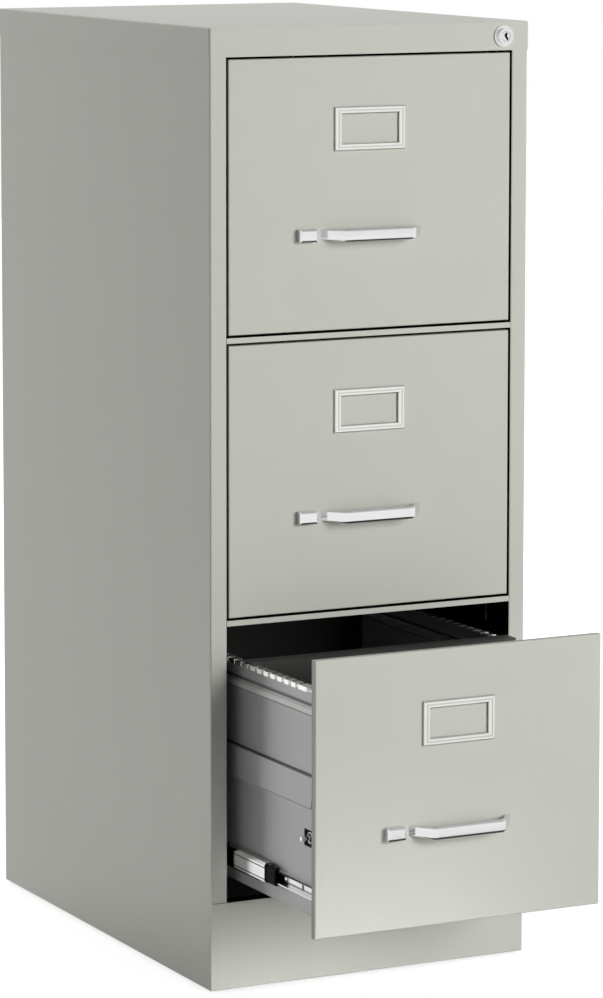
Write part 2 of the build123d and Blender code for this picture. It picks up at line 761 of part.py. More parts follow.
    # Label holder: a raised frame with a groove round it and a pocket for the card behind.
    with BuildPart() as label_holder:
        with BuildSketch(Plane.XZ.offset(-front_y)):
            with Locations((label_x, low_z + label_z)):
                Rectangle(label_width, label_height)
                Rectangle(
                    label_width - 2 * label_border,
                    label_height - 2 * label_border,
                    mode=Mode.SUBTRACT,
                )
        extrude(amount=label_thick)
        chamfer(label_holder.faces().sort_by(Axis.Y)[0].edges(), length=label_bevel)
        with BuildSketch(Plane.XZ.offset(-front_y + label_thick)):
            with Locations((label_x, low_z + label_z)):
                Rectangle(label_width - label_border + groove, label_height - label_border + groove)
                Rectangle(
                    label_width - label_border - groove,
                    label_height - label_border - groove,
                    mode=Mode.SUBTRACT,
                )
        extrude(amount=-groove / 2, mode=Mode.SUBTRACT)
        with BuildSketch(Plane.XZ.offset(-front_y)):
            with Locations((label_x, low_z + label_z - label_height / 2 + label_border / 2)):
                Rectangle(
                    label_width - label_border,
                    label_height,
                    align=(Align.CENTER, Align.MIN),
                )
        extrude(amount=label_pocket, mode=Mode.SUBTRACT)
    label_holder.part.label = f"{drawer}_label_holder"
    export_step(label_holder.part, f"parts/{drawer}_label_holder.step")

    # Handle: a bar with bevelled edges on two sloping legs that slim down towards the front.
    with BuildPart() as handle:
        with BuildSketch(Plane.XY.offset(latch_z - handle_height / 2)):
            bail = (
                (-handle_length / 2 - handle_run_out, front_y + handle_thick),
                (-handle_grip / 2, front_y - handle_reach + handle_thick / 2),
                (handle_grip / 2, front_y - handle_reach + handle_thick / 2),
                (handle_length / 2 + handle_run_out, front_y + handle_thick),
            )
            folded(bail, handle_thick)
        extrude(amount=handle_height)
        chamfer(handle.faces().filter_by(Plane.XY).edges(), length=handle_bevel)
        with BuildSketch(Plane.XZ.offset(-front_y + handle_reach)):
            with BuildLine():
                lower_edge = Polyline(
                    (-handle_length, latch_z - handle_foot / 2),
                    (-handle_grip / 2 - handle_flare, latch_z - handle_foot / 2),
                    (-handle_grip / 2, latch_z - handle_height / 2),
                    (handle_grip / 2, latch_z - handle_height / 2),
                    (handle_grip / 2 + handle_flare, latch_z - handle_foot / 2),
                    (handle_length, latch_z - handle_foot / 2),
                )
                Polyline(
                    lower_edge @ 1,
                    (handle_length, latch_z + handle_foot / 2),
                    (handle_grip / 2 + handle_flare, latch_z + handle_foot / 2),
                    (handle_grip / 2, latch_z + handle_height / 2),
                    (-handle_grip / 2, latch_z + handle_height / 2),
                    (-handle_grip / 2 - handle_flare, latch_z + handle_foot / 2),
                    (-handle_length, latch_z + handle_foot / 2),
                    lower_edge @ 0,
                )
            make_face()
        extrude(amount=-handle_reach, mode=Mode.INTERSECT)
    handle.part.label = f"{drawer}_handle"
    export_step(handle.part, f"parts/{drawer}_handle.step")

    # Thumb button: slides towards the handle on a neck through the slot of the front.
    with BuildPart() as button:
        with BuildSketch(Plane.XZ.offset(-front_y + slide_clearance)):
            with Locations((button_x, latch_z)):
                Rectangle(button_width, button_height)
        extrude(amount=button_reach - slide_clearance)
        chamfer(button.faces().sort_by(Axis.Y)[0].edges(), length=button_bevel)
        with BuildSketch(Plane.XZ.offset(-front_y + slide_clearance)):
            with Locations((button_x, latch_z)):
                Rectangle(button_neck, button_neck)
        extrude(amount=-sheet - 2 * slide_clearance)
    button.part.label = f"{drawer}_latch_button"
    export_step(button.part, f"parts/{drawer}_latch_button.step")

    # Latch rod: a strip behind the pan, an arm beside the drawer's left side and the latch pin.
    strip_y = front_y + sheet + slide_clearance
    with BuildPart() as rod:
        with BuildSketch(Plane.XY.offset(pin_z - latch_strip_height / 2)):
            strip = (
                (button_x + button_neck / 2, strip_y + latch_strip / 2),
                (left(latch_arm_inset + latch_strip / 2), strip_y + latch_strip / 2),
                (left(latch_arm_inset + latch_strip / 2), front_y + latch_arm_length),
            )
            folded(strip, latch_strip)
        extrude(amount=latch_strip_height)
        with BuildSketch(Plane.XZ.offset(-strip_y)):
            with Locations((button_x, pin_z)):
                Rectangle(button_neck, latch_z - pin_z + button_neck / 2, align=(Align.CENTER, Align.MIN))
        extrude(amount=-latch_strip)
        with BuildSketch(Plane.YZ.offset(left(latch_pin_tip))):
            with Locations((pin_y, pin_z)):
                RegularPolygon(latch_pin / 2, round_sides)
        extrude(amount=latch_arm_inset - latch_pin_tip + latch_strip / 2)
    rod.part.label = f"{drawer}_latch_rod"
    export_step(rod.part, f"parts/{drawer}_latch_rod.step")

    # Follower plate: hangs on the toothed rails, with flanges turned back at the sides and the top.
    plate_y = front_y + follower_y
    plate_top = rail_z + follower_lift + stand_off
    half_plate = inside / 2 - follower_play
    with BuildPart() as follower:
        with BuildSketch(Plane.XY.offset(plate_top - follower_height)):
            plate_section = (
                (-half_plate + sheet / 2, plate_y + follower_flange),
                (-half_plate + sheet / 2, plate_y + sheet / 2),
                (half_plate - sheet / 2, plate_y + sheet / 2),
                (half_plate - sheet / 2, plate_y + follower_flange),
            )
            folded(plate_section, sheet)
        extrude(amount=follower_height - follower_lift - stand_off - rail_in)
        with BuildSketch(Plane.XZ.offset(-plate_y)):
            with Locations((0, plate_top)):
                Rectangle(
                    2 * (half_plate - rail_in),
                    follower_neck,
                    align=(Align.CENTER, Align.MAX),
                )
                Rectangle(
                    cabinet_width - 2 * (wall_inset - rail_out),
                    stand_off,
                    align=(Align.CENTER, Align.MAX),
                )
        extrude(amount=-sheet)
        with BuildSketch(Plane.XY.offset(plate_top)):
            with Locations((0, plate_y)):
                Rectangle(
                    cabinet_width - 2 * (wall_inset - rail_out),
                    2 * follower_flange,
                    align=(Align.CENTER, Align.MIN),
                )
        extrude(amount=-sheet)
    follower.part.label = f"{drawer}_follower"
    export_step(follower.part, f"parts/{drawer}_follower.step")

    # Cabinet members of the slides: channels on the webs of the uprights.
    outer_half = outer_height / 2 - plate / 2
    outer_web = left(web_inset + plate / 2)
    with BuildPart() as slide_outer:
        with BuildSketch(Plane.XZ.offset(-face_y - outer_start)):
            outer_section = (
                (left(web_inset + outer_width), centre_z + outer_half - lip_rise),
                (left(web_inset + outer_width - lip_width), centre_z + outer_half),
                (outer_web, centre_z + outer_half),
                (outer_web, centre_z - outer_half),
                (left(web_inset + outer_width - lip_width), centre_z - outer_half),
                (left(web_inset + outer_width), centre_z - outer_half + lip_rise),
            )
            folded(outer_section, plate)
        extrude(amount=-slide_length)
        mirror(about=Plane.YZ)
    slide_outer.part.label = f"{drawer}_slide_outer"
    export_step(slide_outer.part, f"parts/{drawer}_slide_outer.step")

    # Middle members: narrower channels that travel half as far as the drawer.
    middle_y = face_y + middle_start - (face_y - front_y) / 2
    middle_half = middle_height / 2 - plate / 2
    middle_inset = web_inset + plate + slide_play
    middle_web = left(middle_inset + plate / 2)
    with BuildPart() as slide_middle:
        with BuildSketch(Plane.XZ.offset(-middle_y)):
            middle_section = (
                (left(middle_inset + middle_width), centre_z + middle_half - small_lip),
                (left(middle_inset + middle_width - lip_width), centre_z + middle_half),
                (left(middle_inset + web_corner), centre_z + middle_half),
                (middle_web, centre_z + middle_half - web_corner),
                (middle_web, centre_z - middle_half + web_corner),
                (left(middle_inset + web_corner), centre_z - middle_half),
                (left(middle_inset + middle_width - lip_width), centre_z - middle_half),
                (left(middle_inset + middle_width), centre_z - middle_half + small_lip),
            )
            folded(middle_section, plate)
        extrude(amount=-slide_length + middle_start)
        mirror(about=Plane.YZ)
    slide_middle.part.label = f"{drawer}_slide_middle"
    export_step(slide_middle.part, f"parts/{drawer}_slide_middle.step")

    # Drawer members: channels on the drawer sides, with a lanced slot near the front end.
    inner_y = front_y + inner_start
    inner_half = inner_height / 2 - plate / 2
    inner_web = left(wall_inset - plate / 2)
    with BuildPart() as slide_inner:
        with BuildSketch(Plane.XZ.offset(-inner_y)):
            inner_section = (
                (left(wall_inset - inner_width), centre_z + inner_half - small_lip),
                (left(wall_inset - inner_width + lip_width), centre_z + inner_half),
                (inner_web, centre_z + inner_half),
                (inner_web, centre_z - inner_half),
                (left(wall_inset - inner_width + lip_width), centre_z - inner_half),
                (left(wall_inset - inner_width), centre_z - inner_half + small_lip),
            )
            folded(inner_section, plate)
        extrude(amount=-slide_length)
        with BuildSketch(Plane.YZ.offset(left(wall_inset - plate))):
            with Locations((inner_y + lance_y, centre_z)):
                Rectangle(lance_width, inner_height / 2)
        extrude(amount=plate, mode=Mode.SUBTRACT)
        mirror(about=Plane.YZ)
    slide_inner.part.label = f"{drawer}_slide_inner"
    export_step(slide_inner.part, f"parts/{drawer}_slide_inner.step")

    # Ball cages: thin channels between the middle and the drawer members.
    cage_y = face_y + cage_start - (face_y - front_y) * cage_share
    cage_inset = middle_inset + plate + cage_gap
    cage_half = middle_height / 2 - plate - cage_gap - cage_thick / 2
    cage_rim = cage_half - cage_gap
    with BuildPart() as slide_cage:
        with BuildSketch(Plane.XZ.offset(-cage_y)):
            cage_section = (
                (left(middle_inset + middle_width - lip_width), centre_z + cage_rim),
                (left(cage_inset + web_corner), centre_z + cage_rim),
                (left(cage_inset + cage_thick / 2), centre_z + cage_rim - web_corner),
                (left(cage_inset + cage_thick / 2), centre_z - cage_rim + web_corner),
                (left(cage_inset + web_corner), centre_z - cage_rim),
                (left(middle_inset + middle_width - lip_width), centre_z - cage_rim),
            )
            folded(cage_section, cage_thick)
        extrude(amount=-cage_length)
        mirror(about=Plane.YZ)
    slide_cage.part.label = f"{drawer}_slide_cage"
    export_step(slide_cage.part, f"parts/{drawer}_slide_cage.step")
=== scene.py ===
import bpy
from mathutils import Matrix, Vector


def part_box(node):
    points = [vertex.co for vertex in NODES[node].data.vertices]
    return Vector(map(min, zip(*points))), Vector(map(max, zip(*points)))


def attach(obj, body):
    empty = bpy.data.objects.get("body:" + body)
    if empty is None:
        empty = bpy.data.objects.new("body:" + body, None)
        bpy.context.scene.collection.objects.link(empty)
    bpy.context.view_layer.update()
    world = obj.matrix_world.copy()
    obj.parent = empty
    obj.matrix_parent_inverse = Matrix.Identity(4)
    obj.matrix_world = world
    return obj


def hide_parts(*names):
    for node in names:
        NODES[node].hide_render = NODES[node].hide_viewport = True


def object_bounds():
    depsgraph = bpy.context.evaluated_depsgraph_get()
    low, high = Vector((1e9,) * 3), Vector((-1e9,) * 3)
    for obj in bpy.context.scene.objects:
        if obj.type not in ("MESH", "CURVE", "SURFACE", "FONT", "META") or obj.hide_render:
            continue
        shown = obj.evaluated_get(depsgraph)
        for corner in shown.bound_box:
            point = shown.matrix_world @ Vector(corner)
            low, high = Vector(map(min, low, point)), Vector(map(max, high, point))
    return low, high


bl_info = {
    "name": "Filing Cabinet",
    "version": (1, 0, 0),
    "blender": (4, 5, 0),
    "location": "View3D > Sidebar > Cabinet",
    "description": "Finishes and small metalwork for a vertical filing cabinet, with its studio",
    "category": "Object",
}

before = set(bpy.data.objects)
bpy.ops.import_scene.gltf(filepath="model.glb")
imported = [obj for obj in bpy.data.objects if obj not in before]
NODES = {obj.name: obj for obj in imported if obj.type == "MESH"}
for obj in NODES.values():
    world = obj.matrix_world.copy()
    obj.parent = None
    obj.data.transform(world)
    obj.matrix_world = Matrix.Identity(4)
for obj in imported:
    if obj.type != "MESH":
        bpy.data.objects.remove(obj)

import math

import bmesh
import bpy
from bpy.props import FloatProperty, FloatVectorProperty, IntProperty, PointerProperty
from mathutils import Matrix, Vector

CAD_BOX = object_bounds()
DRAWERS = ("drawer_1", "drawer_2", "drawer_3")
EDGE = 0.0001          # half of the width over which a zone of paint ends, in metres
SOFT_EDGE = 0.0003     # the same along a fold of the sheet
UNDER_FACE = 0.0002    # zones inside the body and the drawers start this far under the outer faces
WALL_DEPTHS = (0.002, 0.003)                   # between these depths under a side the slow fade of the painted shade inside the body ends
PUTTY_ROUGHNESS = 0.42
PLUG_STEPS = 64        # round the key plug
GROMMET_STEPS = 40     # round the latch's ring
GROMMET_SIDES = 10     # round the bead of that ring
CORNER_STEPS = 4       # round a corner of a thumb button
BEND_STEPS = 8         # round a bend of a handle
LEG_SHARES = (0.12, 0.24, 0.36, 0.48, 0.7)     # places of the rings along a handle's leg
LEG_SLIM = 0.6                                 # the bevels lose this share of their size along the leg
RIVET_SHARES = (0.16, 0.5, 0.84)               # places of the rivets along a slide
ROOM_HEIGHTS = (0.15, 0.8)                     # the mirrored room darkens between these heights
UNDER_SHARES = (0.86, 0.94)                    # of the cabinet's half width, where the floor starts to glow
# the keyway's outline, in millimetres right of and over the plug's axis
KEYWAY = (
    (0.3, 4.3), (1.9, 3.6), (1.3, 1.1), (1.7, -0.5), (3.1, -2.9), (1.9, -4.4), (0.6, -3.4), (-0.7, -1.4),
    (-2.0, 0.2), (-1.6, 2.6),
)
# each lamp's place, its aim (None for the middle of the cabinet), its width and its beam in degrees
LAMPS = {
    "key": ((1.4, -4.1, 1.55), None, 2.2, 180.0),
    "low": ((-0.2, -1.9, 0.05), (-0.12, -0.5, -0.1), 0.4, 22.0),
    "left": ((-3.3, 6.8, 1.0), None, 2.6, 180.0),
    "right": ((3.2, 1.6, 1.8), None, 2.4, 180.0),
    "back": ((0.6, 3.6, 1.8), None, 2.4, 180.0),
    "top": ((0.0, 0.4, 3.6), None, 2.2, 180.0),
}


def linear(red, green, blue):
    """A colour given in display steps of 0 to 255, as the linear values that shaders use."""
    steps = (red / 255, green / 255, blue / 255)
    return tuple(s / 12.92 if s <= 0.04045 else ((s + 0.055) / 1.055) ** 2.4 for s in steps)


class Wire:
    """A socket of a node tree. Arithmetic on wires adds the nodes that work it out."""

    def __init__(self, socket):
        self.socket = socket

    @classmethod
    def add(cls, tree, kind, settings, inputs, output=0):
        """A new node, with its settings, and the values or wires of its sockets."""
        node = tree.nodes.new(kind)
        for name, value in settings.items():
            setattr(node, name, value)
        for name, value in inputs.items():
            if isinstance(value, Wire):
                tree.links.new(value.socket, node.inputs[name])
            else:
                node.inputs[name].default_value = value
        return cls(node.outputs[output])

    def math(self, operation, first, second):
        """The result of a Math node on two wires or values."""
        settings = {"operation": operation}
        return self.add(self.socket.id_data, "ShaderNodeMath", settings, {0: first, 1: second})

    def __add__(self, other):
        return self.math("ADD", self, other)

    def __radd__(self, other):
        return self.math("ADD", other, self)

    def __sub__(self, other):
        return self.math("SUBTRACT", self, other)

    def __rsub__(self, other):
        return self.math("SUBTRACT", other, self)

    def __mul__(self, other):
        return self.math("MULTIPLY", self, other)

    def __rmul__(self, other):
        return self.math("MULTIPLY", other, self)

    def larger(self, other):
        """The larger of two wires at each point."""
        return self.math("MAXIMUM", self, other)

    def blend(self, low, high):
        """A colour between two others, with this wire as the factor."""
        settings = {"data_type": "RGBA"}
        return self.add(self.socket.id_data, "ShaderNodeMix", settings, {0: self, 6: low, 7: high}, 2)

    def axis(self, name):
        """One of the X, Y and Z of this vector."""
        return self.add(self.socket.id_data, "ShaderNodeSeparateXYZ", {}, {"Vector": self}, name)

    def length(self):
        """The length of this vector."""
        settings = {"operation": "LENGTH"}
        return self.add(self.socket.id_data, "ShaderNodeVectorMath", settings, {0: self}, "Value")

    def shifted(self, amounts):
        """This vector, plus a vector."""
        settings = {"operation": "ADD"}
        return self.add(self.socket.id_data, "ShaderNodeVectorMath", settings, {0: self, 1: amounts})

    def scaled(self, amounts):
        """This vector, times a vector."""
        settings = {"operation": "MULTIPLY"}
        return self.add(self.socket.id_data, "ShaderNodeVectorMath", settings, {0: self, 1: amounts})


def noise(tree, place, scale, detail=2.0):
    """Noise from 0 to 1; scale counts its features to the metre."""
    sockets = {"Vector": place, "Scale": scale, "Detail": detail, "Roughness": 0.5}
    return Wire.add(tree, "ShaderNodeTexNoise", {"noise_dimensions": "3D"}, sockets)


def rising(tree, wire, low, high):
    """A mask that rises from 0 to 1 while the wire goes from low to high."""
    sockets = {"Value": wire, "From Min": low, "From Max": high}
    return Wire.add(tree, "ShaderNodeMapRange", {"clamp": True}, sockets)


def between(tree, wire, low, high, edge):
    """A mask that is 1 while the wire lies between low and high, with soft edges."""
    return rising(tree, wire, low - edge, low + edge) * rising(tree, wire, high + edge, high - edge)


def ray(tree, kind):
    """A mask that is 1 for light rays of that kind."""
    return Wire.add(tree, "ShaderNodeLightPath", {}, {}, f"Is {kind} Ray")


def within(tree, place, low, high, edge):
    """A mask that is 1 inside the box between two corners."""
    masks = [between(tree, place.axis(name), *ends, edge) for name, ends in zip("XYZ", zip(low, high))]
    return masks[0] * masks[1] * masks[2]


def tinted(colour, amount):
    """A lighter or darker tint of a colour, with alpha."""
    return tuple(min(1.0, c * amount) for c in colour) + (1.0,)


class Finish:
    """A material with a Principled shader, and the wires of its place on the surface."""

    def __init__(self, name, **constants):
        self.material = bpy.data.materials.new(name)
        self.material.use_nodes = True
        self.tree = self.material.node_tree
        self.shader = self.tree.nodes["Principled BSDF"]
        self.place = Wire.add(self.tree, "ShaderNodeTexCoord", {}, {}, "Object")
        for socket, value in constants.items():
            self.shader.inputs[socket.replace("_", " ")].default_value = value

    def feed(self, socket, wire):
        """Leads a wire to a socket of the shader."""
        self.tree.links.new(wire.socket, self.shader.inputs[socket])

    def coated(self, mask, colour):
        """Covers the finish with a quite matte coat where the mask is 1."""
        sockets = {"Base Color": (*colour, 1.0), "Roughness": 1.0, "Specular IOR Level": 0.0}
        matte = Wire.add(self.tree, "ShaderNodeBsdfPrincipled", {}, sockets)
        mix = {0: mask, 1: Wire(self.shader.outputs[0]), 2: matte}
        both = Wire.add(self.tree, "ShaderNodeMixShader", {}, mix)
        self.tree.links.new(both.socket, self.tree.nodes["Material Output"].inputs["Surface"])

    def relief(self, height, depth):
        """Bump from a height of 0 to 1 over a depth in metres."""
        sockets = {"Height": height, "Distance": depth, "Strength": 1.0}
        self.feed("Normal", Wire.add(self.tree, "ShaderNodeBump", {}, sockets))


def powder_coat(name, colour, roughness, *zones, matte=None):
    """Paint baked on sheet metal: a fine orange peel over a slow wave of the sheet.

    Each zone is a function that gives a mask, and the colour, the added roughness and the share of bare
    metal where the mask is 1. The matte zone has a mask and a colour of painted shade, and takes all the
    shine away.
    """
    finish = Finish(name)
    tree, place = finish.tree, finish.place
    peel = noise(tree, place, 620.0, 1.0)
    wave = noise(tree, place, 5.0, 0.0)
    cloud = noise(tree, place, 14.0, 3.0)
    paint = cloud.blend(tinted(colour, 0.975), tinted(colour, 1.025))
    dull = roughness - 0.03 + cloud * 0.06
    for zone, zone_colour, added, metal in zones:
        mask = zone(tree, place)
        paint = mask.blend(paint, (*zone_colour, 1.0))
        dull = dull + mask * added
        if metal:
            finish.feed("Metallic", mask * metal)
    finish.feed("Base Color", paint)
    finish.feed("Roughness", dull)
    finish.relief(peel * 0.02 + wave, 0.0006)
    if matte:
        finish.coated(matte[0](tree, place), matte[1])
    return finish.material


def zinc_plate(name, colour, *zones):
    """Bright zinc on rolled steel, with drawing marks and a faint haze. Zones have a mask and a colour."""
    finish = Finish(name, Metallic=1.0)
    tree, place = finish.tree, finish.place
    marks = noise(tree, place.scaled((900.0, 6.0, 900.0)), 1.0, 2.0)
    haze = noise(tree, place, 60.0, 3.0)
    plate = haze.blend(tinted(colour, 0.88), tinted(colour, 1.06))
    for zone, zone_colour in zones:
        plate = zone(tree, place).blend(plate, (*zone_colour, 1.0))
    finish.feed("Base Color", plate)
    finish.feed("Roughness", 0.1 + marks * 0.08 + haze * 0.05)
    finish.relief(marks, 0.00004)
    return finish.material


def chrome_plate(name, colour, roughness, *zones):
    """Polished plate with soft wipe marks and thin hazy patches.

    Each zone is a function that gives a mask, and the colour and the added roughness where the mask is 1.
    """
    finish = Finish(name, Metallic=1.0)
    tree, place = finish.tree, finish.place
    haze = noise(tree, place, 45.0, 3.0)
    wipe = noise(tree, place.scaled((40.0, 40.0, 420.0)), 1.0, 2.0)
    plate = haze.blend(tinted(colour, 0.95), tinted(colour, 1.02))
    dull = roughness + haze * 0.05 + wipe * 0.03
    for zone, zone_colour, added in zones:
        mask = zone(tree, place)
        plate = mask.blend(plate, (*zone_colour, 1.0))
        dull = dull + mask * added
    finish.feed("Base Color", plate)
    finish.feed("Roughness", dull)
    finish.relief(noise(tree, place, 90.0, 1.0), 0.00003)
    return finish.material


def moulded(name, colour, roughness):
    """Moulded plastic with a fine grain."""
    finish = Finish(name, Specular_IOR_Level=0.15)
    tree, place = finish.tree, finish.place
    grain = noise(tree, place, 1600.0, 2.0)
    scuff = noise(tree, place, 80.0, 4.0)
    finish.feed("Base Color", scuff.blend(tinted(colour, 0.85), tinted(colour, 1.25)))
    finish.feed("Roughness", roughness + scuff * 0.12)
    finish.relief(grain, 0.00005)
    return finish.material


def finish_named(name, make, *values, **options):
    """The material of that name, made the first time that it is asked for."""
    return bpy.data.materials.get(name) or make(name, *values, **options)


def dress(names, material):
    """Puts a material on every slot of the CAD nodes."""
    for name in names:
        slots = NODES[name].material_slots
        if not slots:
            raise RuntimeError(f"{name} has no material slot")
        for slot in slots:
            slot.material = material


def putty(context):
    """The putty paint, with a dark matte coat of painted shade inside the body."""
    colours, sizes = context.scene.cabinet_colours, context.scene.cabinet_sizes
    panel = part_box("side_panel_right")[1]
    low = (UNDER_FACE - panel.x, -panel.y, 0.0)
    high = (panel.x - UNDER_FACE, panel.y - sizes.sheet * 1.5, panel.z - sizes.sheet / 2)

    def inside(tree, place):
        # the painted shade starts right behind the stiles, but fades in along the walls
        depth = place.axis("Y") - low[1]
        stile = rising(tree, depth, sizes.sheet - EDGE, sizes.sheet + EDGE)
        wall = rising(tree, depth, sizes.sheet + UNDER_FACE, sizes.interior_shade_fade)
        across = place.scaled((1.0, 0.0, 0.0)).length()
        at_wall = rising(tree, across, high[0] - WALL_DEPTHS[1], high[0] - WALL_DEPTHS[0])
        return within(tree, place, low, high, EDGE) * (stile * (1.0 - at_wall) + wall * at_wall)

    # painted shade: a dark matte coat over the inside of the body
    matte = (inside, tuple(colours.interior_shade))
    return finish_named("putty_powder_coat", powder_coat, tuple(colours.putty), PUTTY_ROUGHNESS, matte=matte)


def nylon(context):
    """The black plastic of the cages and glides."""
    return finish_named("black_nylon", moulded, tuple(context.scene.cabinet_colours.cage_black), 0.65)


def zinc(context):
    """The zinc plate of the slides, rods and lock bar."""
    return finish_named("bright_zinc", zinc_plate, tuple(context.scene.cabinet_colours.zinc))


def chrome(context):
    """The chrome plate of the handles, thumb buttons and lock."""
    return finish_named("polished_chrome", chrome_plate, tuple(context.scene.cabinet_colours.chrome), 0.07)


def skin(form, rings):
    """A closed skin through rings of equally many points, with a flat face over each end."""
    loops = [[form.verts.new(point) for point in ring] for ring in rings]
    for first, second in zip(loops, loops[1:]):
        for index in range(len(first)):
            form.faces.new((first[index - 1], first[index], second[index], second[index - 1]))
    for end in (loops[0], loops[-1]):
        form.faces.new(end)
    bmesh.ops.recalc_face_normals(form, faces=form.faces)


def rounded_rectangle(width, height, radius):
    """Outline with round corners, as (across, up)."""
    points = []
    for quarter, (side, end) in enumerate(((1, 1), (-1, 1), (-1, -1), (1, -1))):
        for step in range(CORNER_STEPS + 1):
            turn = math.radians(90 * (quarter + step / CORNER_STEPS))
            points.append((side * (width / 2 - radius) + math.cos(turn) * radius,
                           end * (height / 2 - radius) + math.sin(turn) * radius))
    return points


def pierced(form, outline, hole):
    """A flat face inside the outline, with a hole in it."""
    edges = []
    for points in (outline, hole):
        corners = [form.verts.new(point) for point in points]
        edges += [form.edges.new((corners[index - 1], corners[index])) for index in range(len(corners))]
    bmesh.ops.triangle_fill(form, edges=edges, use_beauty=True)


def add_piece(name, build, material, body, crease=35.0):
    """A new piece from bmesh code, with its finish, that rides on a body.

    Edges that bend by more than the crease, in degrees, stay sharp.
    """
    mesh = bpy.data.meshes.new(name)
    form = bmesh.new()
    build(form)
    if not form.faces:
        raise RuntimeError(f"{name} came out empty")
    for face in form.faces:
        face.smooth = True
    form.to_mesh(mesh)
    form.free()
    mesh.set_sharp_from_angle(angle=math.radians(crease))
    mesh.materials.append(material)
    piece = bpy.data.objects.new(name, mesh)
    weighted = piece.modifiers.new("flat_faces", "WEIGHTED_NORMAL")
    weighted.keep_sharp = True
    bpy.context.scene.collection.objects.link(piece)
    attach(piece, body)
    return piece


def colour_setting(name, description, *steps):
    """A property for a colour, its default given in display steps of 0 to 255."""
    return FloatVectorProperty(name=name, description=description, default=linear(*steps), size=3,
                               subtype="COLOR", min=0.0, max=1.0)


def length_setting(name, description, default):
    """A property for a length in metres."""
    return FloatProperty(name=name, description=description, default=default, unit="LENGTH", precision=4)


def power_setting(name, description, default):
    """A property for the power of a lamp in watts."""
    return FloatProperty(name=name, description=description, default=default, unit="POWER")


def share_setting(name, description, default):
    """A property for a share of 0 to 1."""
    return FloatProperty(name=name, description=description, default=default, subtype="FACTOR",
                         min=0.0, max=1.0)


class CabinetColours(bpy.types.PropertyGroup):
    """The colours of the cabinet's finishes, and of its painted shade and highlights"""

    putty: colour_setting("Putty", "Paint of the body and the drawer fronts", 197, 199, 190)
    # painted shade: the inside of the body is coloured near black
    interior_shade: colour_setting("Primer", "Dark primer inside the body", 14, 14, 13)
    # painted shade: the fronts' turned edges, in the gaps round them, are darker
    front_edge_shade: colour_setting(
        "Front edge", "Thin paint on the turned edges of the drawer fronts", 168, 170, 162)
    # painted highlight: the teeth at the top of the drawer sides are near white, shinier and mostly metallic
    teeth_highlight: colour_setting("Rail wear", "Bright metal on the teeth where hangers slide", 250, 250, 248)
    # painted shade: dark lines over and under the bead and over the band of the drawer sides
    seam: colour_setting("Seam", "Dirt along the bead and over the band of the drawer sides", 84, 84, 83)
    # painted highlight: the bead is lighter than the rest of the drawer side
    bead: colour_setting("Bead", "Rubbed paint on the drawer sides' beads", 234, 234, 232)
    # painted shade: a dark matte coat over the inside of the drawers
    hollow_shade: colour_setting("Hollow", "Dark paint inside the drawers", 64, 64, 63)
    # painted shade: dark lines along the rolled corners of the slides' middle members
    slide_shade_line: colour_setting(
        "Slide line", "Grease along the rolled corners of the slides' middle members", 70, 70, 68)
    latch_dark: colour_setting("Latch dark", "Black of the dish round the latch pin", 44, 44, 44)
    drawer_grey: colour_setting("Drawer grey", "Paint of the drawers behind their fronts", 205, 205, 204)
    # painted shade: the follower plates are made darker than the drawers' grey
    follower_grey: colour_setting("Follower grey", "Paint of the follower plates", 68, 68, 66)
    zinc: colour_setting("Zinc", "Plate of the slides and the lock's bar", 226, 226, 227)
    chrome: colour_setting("Chrome", "Plate of the handles, thumb buttons and lock", 226, 226, 226)
    frame_metal: colour_setting("Label frame", "Bright metal of the label holders", 236, 236, 232)
    # painted shade: the groove and walls of the label holders are darker, and a little rougher too
    frame_recess_shade: colour_setting(
        "Label frame recess", "Duller metal in the groove and walls of the label holders", 214, 214, 210)
    keyway: colour_setting("Keyway", "Inside of the keyway", 18, 18, 18)
    cage_black: colour_setting("Cage black", "Plastic of the ball cages and the glides", 14, 14, 14)


